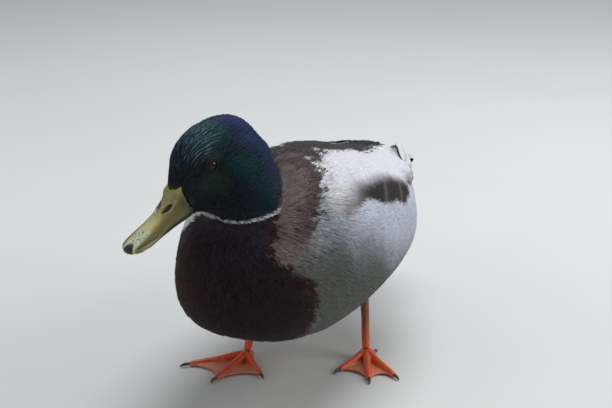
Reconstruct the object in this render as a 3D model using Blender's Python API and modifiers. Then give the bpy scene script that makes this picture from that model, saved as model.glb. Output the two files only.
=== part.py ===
"""A drake mallard standing with its head turned a little to its right and its bill held down.

Life size, in metres. The bird faces -Y and its left side is +X. The body is shaped whole, then
parted into head, neck, trunk, wings and thighs with thin cuts. The origin ends up on the floor,
under the middle of the bird's bounding box.
"""

import math

import bmesh
import bpy
from mathutils import Matrix, Vector

MM = 0.001
CUT_GAP = 0.35 * MM  # clear space that each cut leaves between two pieces

# Trunk: distance behind the feet, half width, height of the back and of the belly
TRUNK_STATIONS = (
    (-160, 3, 108, 96),
    (-153, 27, 130, 79),
    (-140, 45, 145, 65),
    (-115, 58.5, 162.5, 55),
    (-80, 68, 177.5, 50),
    (-30, 72, 176.5, 49),
    (25, 72, 167, 52),
    (70, 67, 153.5, 57),
    (105, 57.5, 145.5, 63),
    (135, 46, 141.5, 76),
    (160, 29, 136, 91),
    (180, 15, 127, 103),
    (190, 4, 117, 109),
)
TRUNK_WIDEST = 0.40  # level of the widest part, as a share of the way up
TRUNK_SQUARENESS = (1.95, 2.45)  # of the upper and the lower half of a section

# Neck: points up its middle and its radius at each
NECK_STATIONS = (
    ((0, -95, 114), 50),
    ((0, -108, 134), 40),
    ((-3, -119, 152), 29),
    ((-7, -118, 167), 26.5),
    ((-11, -112, 182), 26.5),
    ((-15, -109, 196), 26.5),
)
COLLAR_MIDDLE = Vector((-3, -119, 158)) * MM  # where the neck is parted from the trunk
COLLAR_TILT = math.radians(28)

# Head: its own frame has its origin midway between the eyes
HEAD_PLACE = Vector((-32.5, -134, 185)) * MM
HEAD_YAW = math.radians(26)
HEAD_PITCH = math.radians(22)
HEAD_STATIONS = (  # distance ahead of the eyes, half width, crown and throat
    (-51, 6, 0, -10),
    (-47, 16, 7.5, -19),
    (-37, 22.5, 16.3, -27),
    (-20, 23, 22.4, -33),
    (-6, 22, 23.4, -34.5),
    (9, 18.6, 18.6, -33),
    (19, 13, 6.8, -30.5),
    (26, 9.8, -4, -29),
    (30, 7, -9, -26),
)
HEAD_WIDEST = 0.38  # the cheeks' level, as a share of the way up from throat to crown
NAPE_PLACE = Vector((0, 22, -19)) * MM  # a point of the cut between head and neck
NAPE_TILT = math.radians(32)
EYE_RADIUS = 5.2 * MM
EYE_PLACE = Vector((15.4, 0, 0)) * MM

# Bill: distance ahead of the eyes, half width, ridge, cutting edge and the mandible's keel
BILL_STATIONS = (
    (15, 8.0, -5.0, -23.5, -28.0),
    (22, 10.4, -5.0, -23.4, -29.0),
    (27, 10.3, -7.5, -23.4, -29.0),
    (34, 10.0, -11.5, -23.2, -28.6),
    (43, 10.4, -15.6, -23.2, -28.0),
    (53, 11.4, -18.6, -23.4, -27.4),
    (62, 12.1, -20.3, -24.0, -27.2),
    (69, 11.0, -21.3, -24.7, -27.0),
    (73, 7.2, -22.3, -25.3, -26.9),
    (75, 2.5, -23.6, -25.7, -26.7),
)
BILL_SQUARENESS = 2.3
LOWER_BILL_SHORTER = 2.5
LOWER_BILL_NARROWER = 1.2
NAIL_LENGTH = 8 * MM
NAIL_WIDTH = 8.4 * MM

# Folded wing: outline seen from the side, as distance behind the feet and height
WING_OUTLINE = (
    (-84, 131),
    (-62, 151),
    (-20, 159),
    (50, 153),
    (104, 143),
    (146, 129),
    (118, 113),
    (60, 103),
    (0, 94),
    (-50, 99),
    (-78, 112),
)
WING_DEPTH = 36 * MM  # how far out from the middle the wing's inner face lies
WINGTIP_STATIONS = (  # points along the primaries, half thickness and half width
    ((43, 76, 122), 3, 5),
    ((47, 94, 126), 6, 11),
    ((42, 118, 126), 5, 12),
    ((31, 148, 126), 3.6, 9.5),
    ((21, 176, 126), 2.4, 6),
    ((14, 198, 125), 1.2, 2.2),
)

# Tail: distance behind the feet, half width, middle height, thickness
TAIL_STATIONS = (
    (140, 12, 111, 18),
    (166, 17, 111, 14),
    (184, 19.5, 110, 10),
    (204, 21, 109, 6),
    (222, 20, 108, 3.6),
    (236, 14, 108, 2.4),
    (243, 5, 108, 1.6),
)
TAIL_CUT = 160 * MM
CURL_ROOT = (175.5, 115)  # distance behind the feet and height where a curl leaves the tail
CURL_RADIUS = 6.5 * MM
CURL_TURN = math.radians(285)

# Legs: each foot is set by its knuckle over the floor and the turn of each toe outward
KNUCKLE_HEIGHT = 7.5 * MM
FEET = {
    "left": {"knuckle": Vector((43, 15)) * MM, "side": 1, "turns": (-17, 20, 45)},
    "right": {"knuckle": Vector((-42, -19)) * MM, "side": -1, "turns": (-38, 8, 54)},
}
HOCK_BACK = 16 * MM
HOCK_IN = 7 * MM
HOCK_HEIGHT = 52 * MM
SHANK_RADIUS = 3.6 * MM
THIGH_TOP = 84 * MM
THIGH_SIZE = (20 * MM, 24 * MM)
TOE_LENGTHS = {"inner": 36 * MM, "middle": 48 * MM, "outer": 46 * MM}
TOE_RADIUS = 3.0 * MM
HIND_TOE_LENGTH = 12 * MM
WEB_THICKNESS = 1.3 * MM
CLAW_LENGTH = 6.5 * MM
CLAW_RADIUS = 1.4 * MM


def clear_scene():
    for obj in list(bpy.data.objects):
        bpy.data.objects.remove(obj, do_unlink=True)


def collection(name):
    made = bpy.data.collections.new(name)
    bpy.context.scene.collection.children.link(made)
    return made


def material(name, colour, roughness, metallic=0.0):
    made = bpy.data.materials.new(name)
    made.use_nodes = True
    shader = made.node_tree.nodes["Principled BSDF"]
    shader.inputs["Base Color"].default_value = (*colour, 1)
    shader.inputs["Roughness"].default_value = roughness
    shader.inputs["Metallic"].default_value = metallic
    return made


def smooth_curve(places, values):
    """A smooth curve through values at rising places, as a function of the place."""
    slopes = []
    for i in range(len(places)):
        low, high = max(i - 1, 0), min(i + 1, len(places) - 1)
        slopes.append((values[high] - values[low]) / (places[high] - places[low]))

    def value_at(place):
        place = min(max(place, places[0]), places[-1])
        i = max(k for k in range(len(places) - 1) if places[k] <= place)
        step = places[i + 1] - places[i]
        t = (place - places[i]) / step
        return (
            values[i] * (1 + 2 * t) * (1 - t) ** 2
            + slopes[i] * step * t * (1 - t) ** 2
            + values[i + 1] * t * t * (3 - 2 * t)
            + slopes[i + 1] * step * t * t * (t - 1)
        )

    return value_at


def columns(stations):
    """One smooth curve for each column of a station table, all running along the first column."""
    places = [station[0] for station in stations]
    return [
        smooth_curve(places, [station[k] for station in stations])
        for k in range(1, len(stations[0]))
    ]


def rounded(angle, squareness):
    """A point on a superellipse of unit half axes."""
    c, s = math.cos(angle), math.sin(angle)
    power = 2 / squareness
    return (
        math.copysign(abs(c) ** power, c),
        math.copysign(abs(s) ** power, s),
    )


def linked(name, mesh, into):
    obj = bpy.data.objects.new(name, mesh)
    into.objects.link(obj)
    return obj


def shaped_ball(name, into, place, around=32, along=24):
    """A ball whose points are moved by place(share from one pole to the other, angle round)."""
    bm = bmesh.new()
    bmesh.ops.create_uvsphere(bm, u_segments=around, v_segments=along, radius=1)
    for vert in bm.verts:
        share = math.acos(max(-1, min(1, vert.co.z))) / math.pi
        angle = math.atan2(vert.co.y, vert.co.x)
        vert.co = place(share, angle)
    bmesh.ops.recalc_face_normals(bm, faces=bm.faces)
    if bm.calc_volume(signed=True) < 0:
        bmesh.ops.reverse_faces(bm, faces=bm.faces)
    mesh = bpy.data.meshes.new(name)
    bm.to_mesh(mesh)
    bm.free()
    mesh.shade_smooth()
    return linked(name, mesh, into)


def tube_along(name, into, stations, around=24, along=28, flat=None, even=False):
    """A tube through points with their radii.

    flat is the direction of a flattened tube's thickness: each station then ends with its half
    thickness and half width. even spaces the rings evenly, not closer toward the ends.
    """
    points = [Vector(station[0]) * MM for station in stations]
    marks = [i / (len(points) - 1) for i in range(len(points))]
    path = [smooth_curve(marks, [p[k] for p in points]) for k in range(3)]
    radius = smooth_curve(marks, [station[1] * MM for station in stations])
    second = radius
    if flat is not None:
        second = smooth_curve(marks, [station[2] * MM for station in stations])

    def place(share, angle):
        t = share if even else 0.5 - 0.5 * math.cos(share * math.pi)
        here = Vector([axis(t) for axis in path])
        ahead = Vector([axis(min(t + 0.01, 1)) for axis in path])
        behind = Vector([axis(max(t - 0.01, 0)) for axis in path])
        lie = (ahead - behind).normalized()
        across = lie.cross(flat or Vector((1, 0, 0))).normalized()
        other = lie.cross(across)
        swell = math.sin(share * math.pi) ** 0.25 if 0 < share < 1 else 0
        return (
            here
            + across * (second(t) * swell * math.cos(angle))
            + other * (radius(t) * swell * math.sin(angle))
        )

    return shaped_ball(name, into, place, around, along)


def helper(obj):
    obj.hide_render = True
    obj.display_type = "WIRE"
    return obj


def evaluated_copy(obj, name, into):
    """A new object with obj's evaluated mesh in world space."""
    bpy.context.view_layer.update()
    graph = bpy.context.evaluated_depsgraph_get()
    mesh = bpy.data.meshes.new_from_object(obj.evaluated_get(graph))
    mesh.transform(obj.matrix_world)
    mesh.name = name
    return linked(name, mesh, into)


def boolean(obj, other, operation):
    modifier = obj.modifiers.new(operation.lower() + "_" + other.name, "BOOLEAN")
    modifier.operation = operation
    modifier.object = other
    modifier.solver = "EXACT"
    return obj


def grown(obj, name, into, by=CUT_GAP):
    """A copy of obj that is bigger all round, to cut a clear space for it."""
    copy = evaluated_copy(obj, name, into)
    modifier = copy.modifiers.new("grow", "DISPLACE")
    modifier.strength = by
    modifier.mid_level = 0
    return helper(copy)


def prism(name, into, outline, low, high, axis="X"):
    """A closed prism: a smooth closed outline in the plane across the axis, from low to high."""
    bm = bmesh.new()
    ends = []
    for level in (low, high):
        ring = []
        for a, b in outline:
            ring.append(bm.verts.new((level, a, b) if axis == "X" else (a, b, level)))
        ends.append(ring)
        bm.faces.new(ring)
    count = len(outline)
    for i in range(count):
        k = (i + 1) % count
        bm.faces.new((ends[0][i], ends[0][k], ends[1][k], ends[1][i]))
    bmesh.ops.recalc_face_normals(bm, faces=bm.faces)
    mesh = bpy.data.meshes.new(name)
    bm.to_mesh(mesh)
    bm.free()
    return linked(name, mesh, into)


def closed_spline(corners, steps=3):
    """Points on a smooth closed curve through the corners."""
    count = len(corners)
    points = []
    for i in range(count):
        p0, p1, p2, p3 = (Vector(corners[(i + k - 1) % count]) for k in range(4))
        for step in range(steps):
            t = step / steps
            points.append(
                0.5
                * (
                    2 * p1
                    + (p2 - p0) * t
                    + (2 * p0 - 5 * p1 + 4 * p2 - p3) * t * t
                    + (3 * p1 - p0 - 3 * p2 + p3) * t**3
                )
            )
    return points


def swollen(outline, by):
    """The outline moved outwards by a distance."""
    count = len(outline)
    moved = []
    for i, point in enumerate(outline):
        run = outline[(i + 1) % count] - outline[i - 1]
        moved.append(point + Vector((run.y, -run.x)).normalized() * by)
    area = sum(
        outline[i].x * outline[(i + 1) % count].y - outline[(i + 1) % count].x * outline[i].y
        for i in range(count)
    )
    if area < 0:
        return [2 * p - q for p, q in zip(outline, moved)]
    return moved


def block(name, into, low, high):
    bpy.ops.mesh.primitive_cube_add(size=1, location=(Vector(low) + Vector(high)) / 2)
    obj = bpy.context.active_object
    obj.name = name
    obj.data.transform(Matrix.Diagonal((*(Vector(high) - Vector(low)), 1)))
    for other in list(obj.users_collection):
        other.objects.unlink(obj)
    into.objects.link(obj)
    return obj


def trunk_form(into):
    width, top, bottom = columns(TRUNK_STATIONS)
    front, back = TRUNK_STATIONS[0][0], TRUNK_STATIONS[-1][0]

    def place(share, angle):
        y = front + (back - front) * (0.5 - 0.5 * math.cos(share * math.pi))
        across, upward = rounded(angle, TRUNK_SQUARENESS[0 if angle > 0 else 1])
        middle = bottom(y) + (top(y) - bottom(y)) * TRUNK_WIDEST
        swell = 0 if share in (0, 1) else 1
        half = top(y) - middle if angle > 0 else middle - bottom(y)
        return Vector((across * width(y) * swell, y, middle + upward * half * swell)) * MM

    return shaped_ball("trunk_form", into, place, 48, 40)


def head_frame(into):
    """An empty at the head's middle. Its -Y runs along the bill and its +X to the left eye."""
    empty = bpy.data.objects.new("head_frame", None)
    into.objects.link(empty)
    empty.location = HEAD_PLACE
    empty.rotation_euler = (HEAD_PITCH, 0, -HEAD_YAW)
    empty.empty_display_size = 0.02
    bpy.context.view_layer.update()
    return empty


def head_form(into, frame):
    """Skull and cheeks: each section is widest at the cheeks and drawn in toward the crown."""
    width, crown, throat = columns(HEAD_STATIONS)
    back, front = HEAD_STATIONS[0][0], HEAD_STATIONS[-1][0]

    def place(share, angle):
        ahead = back + (front - back) * (0.5 - 0.5 * math.cos(share * math.pi))
        across, upward = rounded(angle, 1.75 if math.sin(angle) > 0 else 2.3)
        middle = throat(ahead) + (crown(ahead) - throat(ahead)) * HEAD_WIDEST
        half = crown(ahead) - middle if upward > 0 else middle - throat(ahead)
        swell = 0 if share in (0, 1) else 1
        return Vector((across * width(ahead) * swell, -ahead, middle + upward * half * swell)) * MM

    obj = shaped_ball("head_form", into, place, 36, 28)
    obj.parent = frame
    return obj


def hock_of(foot):
    knuckle = foot["knuckle"]
    return Vector((knuckle.x - foot["side"] * HOCK_IN, knuckle.y + HOCK_BACK, HOCK_HEIGHT))


def thigh_form(into, side):
    foot = FEET[side]
    hock = hock_of(foot) / MM
    stations = (
        ((hock.x * 0.86, hock.y - 20, 98), 24),
        ((hock.x * 0.94, hock.y - 8, 80), 23),
        ((hock.x, hock.y, 66), 15),
        ((hock.x, hock.y + 1, 57), 9.5),
        ((hock.x, hock.y + 1, 50), 6.5),
    )
    return tube_along("thigh_form_" + side, into, stations, 20, 16)


def whole_body(into, frame):
    """Trunk, neck, head and thighs run together into one smooth skin."""
    body = trunk_form(into)
    forms = [tube_along("neck_form", into, NECK_STATIONS, 32, 30), head_form(into, frame)]
    forms += [thigh_form(into, side) for side in FEET]
    for form in forms:
        helper(form)
        boolean(body, form, "UNION")
    remesh = body.modifiers.new("one_skin", "REMESH")
    remesh.mode = "VOXEL"
    remesh.voxel_size = 3 * MM
    smooth = body.modifiers.new("run_together", "SMOOTH")
    smooth.factor = 0.6
    smooth.iterations = 7
    thin = body.modifiers.new("fewer_faces", "DECIMATE")
    thin.ratio = 0.04
    return helper(body)


def lean(name, into, parent, place, angle):
    """An empty on a cut plane. Its Z stands square on the plane, leaning forward by angle."""
    empty = bpy.data.objects.new(name, None)
    into.objects.link(empty)
    empty.parent = parent
    empty.location = place
    empty.rotation_euler = (angle, 0, 0)
    empty.empty_display_size = 0.02
    return empty


def cut_boxes(into, frame):
    """Boxes that hold what lies on each side of the collar, the nape and the tail's root."""
    far = 0.5
    collar = lean("collar_plane", into, None, COLLAR_MIDDLE, COLLAR_TILT)
    nape = lean("nape_plane", into, frame, NAPE_PLACE, NAPE_TILT)
    boxes = {}
    for plane, above, below in (
        (collar, "above_collar", "below_collar"),
        (nape, "head_side", "neck_side"),
    ):
        boxes[above] = block(above, into, (-far, -far, CUT_GAP / 2), (far, far, far))
        boxes[below] = block(below, into, (-far, -far, -far), (far, far, -CUT_GAP / 2))
        boxes[above].parent = plane
        boxes[below].parent = plane
    root = TAIL_CUT + CUT_GAP / 2
    boxes["tail_side"] = block("tail_side", into, (-far, root, -far), (far, far, far))
    root -= CUT_GAP
    boxes["trunk_side"] = block("trunk_side", into, (-far, -far, -far), (far, root, far))
    for box in boxes.values():
        helper(box)
    return boxes


def finished(obj, name, into, stuff):
    """The evaluated shape as a node of its own, with its material."""
    made = evaluated_copy(obj, name, into)
    made.data.materials.clear()
    made.data.materials.append(stuff)
    return made


def half_bill(name, into, frame, upper):
    """One mandible: domed on its outer side and flat where the two meet."""
    width, ridge, edge, keel = columns(BILL_STATIONS)
    back, front = BILL_STATIONS[0][0], BILL_STATIONS[-1][0]
    gap = CUT_GAP / MM
    if not upper:
        front -= LOWER_BILL_SHORTER

    def place(share, angle):
        ahead = back + (front - back) * (0.5 - 0.5 * math.cos(share * math.pi))
        across, upward = rounded(angle, BILL_SQUARENESS)
        swell = 0 if share in (0, 1) else 1
        if upper:
            level = edge(ahead) + max(0, upward) * (ridge(ahead) - edge(ahead)) * swell
            wide = width(ahead)
        else:
            meeting = edge(ahead) - gap
            level = meeting + min(0, upward) * (meeting - keel(ahead)) * swell
            wide = width(ahead) - LOWER_BILL_NARROWER
            wide *= min(1, math.sqrt(max(0, front - ahead) / 8))
        return Vector((across * wide * swell, -ahead, level)) * MM

    obj = shaped_ball(name, into, place, 20, 15)
    obj.parent = frame
    return helper(obj)


def nail_outline(extra=0.0):
    """The oval of the nail at the bill's tip, seen from above in the head's frame."""
    middle = -(BILL_STATIONS[-1][0] * MM - NAIL_LENGTH + NAIL_LENGTH * 0.9)
    points = []
    for i in range(20):
        angle = 2 * math.pi * i / 20
        across = (NAIL_WIDTH / 2 + extra) * math.cos(angle)
        points.append((across, middle + (NAIL_LENGTH * 0.9 + extra) * math.sin(angle)))
    return points


def build_bill(parts, helpers, frame, stuff):
    upper = half_bill("upper_form", helpers, frame, True)
    lower = half_bill("lower_form", helpers, frame, False)
    tip = half_bill("tip_form", helpers, frame, True)
    inside = prism("nail_cut", helpers, nail_outline(), -0.1, 0.1, "Z")
    outside = prism("nail_gap", helpers, nail_outline(CUT_GAP), -0.1, 0.1, "Z")
    for cutter in (inside, outside):
        cutter.parent = frame
        helper(cutter)
    boolean(tip, inside, "INTERSECT")
    boolean(upper, outside, "DIFFERENCE")
    finished(tip, "bill_nail", parts, stuff["nail_horn"])
    made = [
        finished(upper, "bill_upper", parts, stuff["bill_horn"]),
        finished(lower, "bill_lower", parts, stuff["bill_horn"]),
    ]
    return [grown(obj, obj.name + "_room", helpers) for obj in made]


def build_eyes(parts, helpers, frame, stuff):
    rooms = []
    for side, sign in (("left", 1), ("right", -1)):
        for radius, name, into in (
            (EYE_RADIUS, "eye_" + side, parts),
            (EYE_RADIUS + CUT_GAP, "socket_" + side, helpers),
        ):
            bpy.ops.mesh.primitive_uv_sphere_add(segments=12, ring_count=8, radius=radius)
            ball = bpy.context.active_object
            ball.name = name
            ball.data.transform(Matrix.Rotation(math.pi / 2, 4, "Y"))
            for other in list(ball.users_collection):
                other.objects.unlink(ball)
            into.objects.link(ball)
            place = Vector((EYE_PLACE.x * sign, EYE_PLACE.y, EYE_PLACE.z))
            ball.data.transform(frame.matrix_world @ Matrix.Translation(place))
            ball.data.shade_smooth()
            if into is parts:
                ball.data.materials.append(stuff["eye_glass"])
            else:
                rooms.append(helper(ball))
    return rooms


def wingtip_form(name, into, sign):
    stations = [((sign * p[0], p[1], p[2]), thick, wide) for p, thick, wide in WINGTIP_STATIONS]
    return helper(tube_along(name, into, stations, 12, 10, Vector((sign * 0.75, 0, 0.65))))


def build_wings(parts, helpers, body, stuff):
    """Each wing is the body's surface inside the wing's outline, run on into the primaries."""
    outline = [p.copy() for p in closed_spline([Vector(p) * MM for p in WING_OUTLINE])]
    rooms = []
    for side, sign in (("left", 1), ("right", -1)):
        near, far = sorted((sign * WING_DEPTH, sign * 0.11))
        cutter = helper(prism("wing_cut_" + side, helpers, outline, near, far))
        near, far = sorted((sign * (WING_DEPTH - CUT_GAP), sign * 0.11))
        wider = swollen(outline, CUT_GAP)
        rooms.append(helper(prism("wing_room_" + side, helpers, wider, near, far)))
        blade = wingtip_form("wingtip_" + side, helpers, sign)
        rooms.append(grown(blade, "wingtip_room_" + side, helpers))
        slab = evaluated_copy(body, "wing_slab_" + side, helpers)
        boolean(slab, cutter, "INTERSECT")
        boolean(slab, blade, "UNION")
        helper(slab)
        finished(slab, "wing_" + side, parts, stuff["plumage_wing"])
    return rooms


def tail_form(into):
    width, middle, thick = columns(TAIL_STATIONS)
    front, back = TAIL_STATIONS[0][0], TAIL_STATIONS[-1][0]

    def place(share, angle):
        y = front + (back - front) * (0.5 - 0.5 * math.cos(share * math.pi))
        swell = 0 if share in (0, 1) else 1
        across = math.cos(angle) * width(y) * swell
        level = middle(y) + math.sin(angle) * thick(y) / 2 * swell
        return Vector((across, y, level)) * MM

    return helper(shaped_ball("tail_form", into, place, 14, 11))


def curl_form(name, into, sign):
    """A tail covert that runs back along the tail, then curls up and forward."""
    stations = [((sign * 5, CURL_ROOT[0] - 14, CURL_ROOT[1] - 3), 0.9, 2.4)]
    stations.append(((sign * 5, CURL_ROOT[0] - 5, CURL_ROOT[1]), 0.9, 2.8))
    for i in range(9):
        share = i / 8
        angle = -math.pi / 2 + CURL_TURN * share
        radius = (CURL_RADIUS / MM) * (1 - 0.35 * share)
        centre = CURL_ROOT[1] + CURL_RADIUS / MM
        point = (
            sign * (5.5 + 2.5 * share),
            CURL_ROOT[0] + 2 + radius * math.cos(angle),
            centre + radius * math.sin(angle),
        )
        stations.append((point, 0.9 - 0.3 * share, 2.8 - 1.4 * share))
    return tube_along(name, into, stations, 6, 17, Vector((1, 0, 0)), True)


def build_tail(parts, helpers, body, boxes, rooms, stuff):
    tail = tail_form(helpers)
    boolean(tail, body, "UNION")
    boolean(tail, boxes["tail_side"], "INTERSECT")
    for room in rooms:
        if room.name.startswith("wingtip"):
            boolean(tail, room, "DIFFERENCE")
    for side, sign in (("left", 1), ("right", -1)):
        curl = curl_form("tail_curl_" + side, parts, sign)
        curl.data.materials.append(stuff["plumage_body"])
        boolean(tail, grown(curl, "curl_room_" + side, helpers), "DIFFERENCE")
    finished(tail, "tail", parts, stuff["plumage_body"])


def shank_form(name, into, foot):
    hock = hock_of(foot)
    knuckle = Vector((foot["knuckle"].x, foot["knuckle"].y, KNUCKLE_HEIGHT))
    middle = (hock + knuckle) / 2 + Vector((0, 0.0015, 0))
    radius = SHANK_RADIUS / MM
    stations = (
        ((hock + Vector((0, 0.001, 0.012))) / MM, radius + 0.2),
        (hock / MM, radius + 0.7),
        ((hock + middle) / 2 / MM, radius - 0.1),
        (middle / MM, radius - 0.4),
        ((middle + knuckle) / 2 / MM, radius - 0.2),
        (knuckle / MM, radius + 0.4),
    )
    return tube_along(name, into, stations, 9, 9)


def toe_way(foot, turn):
    """Level direction of a toe turned outward from straight ahead."""
    angle = math.radians(turn)
    return Vector((foot["side"] * math.sin(angle), -math.cos(angle), 0))


def build_foot(parts, helpers, side, foot, shank_room, stuff):
    """Three webbed toes ahead and a small one behind, with flat soles all at floor level."""
    knuckle = foot["knuckle"]
    ground = Vector((knuckle.x, knuckle.y, 0))
    pad = block("pad_" + side, helpers, (-0.005, -0.008, -0.002), (0.005, 0.006, 0.008))
    pad.location += ground
    rounding = pad.modifiers.new("rounding", "BEVEL")
    rounding.width = 3 * MM
    rounding.segments = 2
    helper(pad)
    tips = {}
    claws = []
    spans = dict(zip(TOE_LENGTHS, foot["turns"]))
    for name, turn in list(spans.items()) + [("hind", 180 - 18)]:
        length = HIND_TOE_LENGTH if name == "hind" else TOE_LENGTHS[name]
        slim = 0.72 if name == "hind" else 1
        way = toe_way(foot, turn)
        radius = TOE_RADIUS / MM * slim
        stations = (
            ((ground + way * 0.001 + Vector((0, 0, KNUCKLE_HEIGHT - 0.001))) / MM, radius + 0.8),
            ((ground + way * length * 0.3 + Vector((0, 0, 0.0044))) / MM, radius + 0.15),
            ((ground + way * length * 0.62 + Vector((0, 0, 0.0027))) / MM, radius),
            ((ground + way * length * 0.88 + Vector((0, 0, 0.0024))) / MM, radius - 0.35),
            ((ground + way * length + Vector((0, 0, 0.0022))) / MM, radius - 1.2),
        )
        toe = helper(tube_along("toe_" + name + "_" + side, helpers, stations, 8, 7))
        boolean(pad, toe, "UNION")
        tips[name] = ground + way * length
        claws.append((name, tips[name], way))
    for first, second in (("inner", "middle"), ("middle", "outer")):
        web = web_form("web_" + first + "_" + side, helpers, ground, tips[first], tips[second])
        boolean(pad, web, "UNION")
    floor = helper(block("over_floor_" + side, helpers, (-0.3, -0.3, 0), (0.3, 0.3, 0.3)))
    boolean(pad, floor, "INTERSECT")
    boolean(pad, shank_room, "DIFFERENCE")
    for name, tip, way in claws:
        long = CLAW_LENGTH * (0.6 if name == "hind" else 1)
        stations = (
            ((tip - way * 0.002 + Vector((0, 0, 0.0024))) / MM, CLAW_RADIUS / MM * 0.8),
            ((tip + way * long * 0.3 + Vector((0, 0, 0.0025))) / MM, CLAW_RADIUS / MM),
            ((tip + way * long * 0.7 + Vector((0, 0, 0.0019))) / MM, CLAW_RADIUS / MM * 0.75),
            ((tip + way * long + Vector((0, 0, 0.0007))) / MM, 0.5),
        )
        claw = tube_along("claw_" + name + "_" + side, parts, stations, 6, 6)
        claw.data.materials.append(stuff["claw_horn"])
        boolean(pad, grown(claw, "claw_room_" + name + side, helpers), "DIFFERENCE")
    finished(pad, "foot_" + side, parts, stuff["leg_skin"])


def web_form(name, into, root, tip, other):
    """A thin sheet between two toes, its free edge drawn back in a shallow curve."""
    outline = [root]
    reach = 0.93
    for i in range(7):
        share = i / 6
        edge = root + ((tip - root) * (1 - share) + (other - root) * share) * reach
        sag = 0.86 + 0.14 * (2 * share - 1) ** 2
        outline.append(root + (edge - root) * sag)
    flat = [(point.x, point.y) for point in outline]
    low = 1.1 * MM
    return helper(prism(name, into, flat, low, low + WEB_THICKNESS, "Z"))


def build_legs(parts, helpers, body, stuff):
    rooms = []
    for side, foot in FEET.items():
        shank = shank_form("shank_" + side, parts, foot)
        shank.data.materials.append(stuff["leg_skin"])
        shank_room = grown(shank, "shank_room_" + side, helpers)
        build_foot(parts, helpers, side, foot, shank_room, stuff)
        hock = hock_of(foot)
        outline = []
        for i in range(24):
            angle = 2 * math.pi * i / 24
            across, along = math.cos(angle) * THIGH_SIZE[0], math.sin(angle) * THIGH_SIZE[1]
            outline.append(Vector((hock.x + across, hock.y - 0.004 + along)))
        cutter = helper(prism("thigh_cut_" + side, helpers, outline, -0.01, THIGH_TOP, "Z"))
        wider = swollen(outline, CUT_GAP)
        top = THIGH_TOP + CUT_GAP
        rooms.append(helper(prism("thigh_room_" + side, helpers, wider, -0.01, top, "Z")))
        thigh = evaluated_copy(body, "thigh_slab_" + side, helpers)
        boolean(thigh, cutter, "INTERSECT")
        boolean(thigh, shank_room, "DIFFERENCE")
        helper(thigh)
        finished(thigh, "thigh_" + side, parts, stuff["plumage_body"])
    return rooms


def centre_on_floor(parts):
    """Move every piece so that the origin lies on the floor under the middle of them all."""
    corners = [v.co for obj in parts.objects for v in obj.data.vertices]
    low = Vector([min(c[k] for c in corners) for k in range(3)])
    high = Vector([max(c[k] for c in corners) for k in range(3)])
    shift = Vector((-(low.x + high.x) / 2, -(low.y + high.y) / 2, -low.z))
    for obj in parts.objects:
        obj.data.transform(Matrix.Translation(shift))
    return shift


def materials():
    return {
        "plumage_head": material("plumage_head", (0.01, 0.09, 0.06), 0.45),
        "plumage_body": material("plumage_body", (0.42, 0.42, 0.44), 0.8),
        "plumage_wing": material("plumage_wing", (0.3, 0.25, 0.22), 0.75),
        "bill_horn": material("bill_horn", (0.42, 0.36, 0.07), 0.4),
        "nail_horn": material("nail_horn", (0.02, 0.02, 0.02), 0.35),
        "leg_skin": material("leg_skin", (0.75, 0.13, 0.02), 0.5),
        "claw_horn": material("claw_horn", (0.05, 0.035, 0.025), 0.4),
        "eye_glass": material("eye_glass", (0.02, 0.01, 0.008), 0.05),
    }


def main():
    clear_scene()
    parts = collection("standing_mallard_drake")
    helpers = collection("helpers")
    stuff = materials()
    frame = head_frame(helpers)
    body = evaluated_copy(whole_body(helpers, frame), "whole", helpers)
    helper(body)
    boxes = cut_boxes(helpers, frame)
    bill_rooms = build_bill(parts, helpers, frame, stuff)
    eye_rooms = build_eyes(parts, helpers, frame, stuff)
    wing_rooms = build_wings(parts, helpers, body, stuff)
    leg_rooms = build_legs(parts, helpers, body, stuff)
    build_tail(parts, helpers, body, boxes, wing_rooms, stuff)

    pieces = {
        "head": (("above_collar", "head_side"), bill_rooms + eye_rooms, "plumage_head"),
        "neck": (("above_collar", "neck_side"), [], "plumage_head"),
        "trunk": (("below_collar", "trunk_side"), wing_rooms + leg_rooms, "plumage_body"),
    }
    for name, (kept, removed, slot) in pieces.items():
        piece = evaluated_copy(body, name + "_slab", helpers)
        for box in kept:
            boolean(piece, boxes[box], "INTERSECT")
        for room in removed:
            boolean(piece, room, "DIFFERENCE")
        helper(piece)
        finished(piece, name, parts, stuff[slot])
    shift = centre_on_floor(parts)
    print("moved by", [round(value / MM, 2) for value in shift])
    print("triangles", sum(len(p.vertices) - 2 for o in parts.objects for p in o.data.polygons))


main()
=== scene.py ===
import bpy
import heapq
import math
import numpy as np
from mathutils import Euler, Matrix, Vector
from mathutils.bvhtree import BVHTree
from mathutils.kdtree import KDTree


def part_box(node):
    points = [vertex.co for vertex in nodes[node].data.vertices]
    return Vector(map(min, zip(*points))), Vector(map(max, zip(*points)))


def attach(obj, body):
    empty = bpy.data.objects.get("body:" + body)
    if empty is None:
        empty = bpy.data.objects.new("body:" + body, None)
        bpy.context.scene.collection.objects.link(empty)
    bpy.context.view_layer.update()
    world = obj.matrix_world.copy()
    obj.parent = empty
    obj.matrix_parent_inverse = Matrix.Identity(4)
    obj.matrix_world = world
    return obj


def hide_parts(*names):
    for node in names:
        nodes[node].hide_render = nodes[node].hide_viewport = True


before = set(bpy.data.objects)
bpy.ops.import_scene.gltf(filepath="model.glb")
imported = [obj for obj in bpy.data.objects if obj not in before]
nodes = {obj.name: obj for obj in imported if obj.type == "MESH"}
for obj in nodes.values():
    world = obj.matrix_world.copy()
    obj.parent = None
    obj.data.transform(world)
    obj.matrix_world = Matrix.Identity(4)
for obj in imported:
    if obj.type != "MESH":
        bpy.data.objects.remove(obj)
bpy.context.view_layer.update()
mm = 0.001
axisX = 2.1  # the duck's middle line, in mm
print("frame loaded:", len(nodes), "nodes")


# small tools

def pick(piece):
    bpy.ops.object.select_all(action="DESELECT")
    piece.select_set(True)
    bpy.context.view_layer.objects.active = piece


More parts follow.
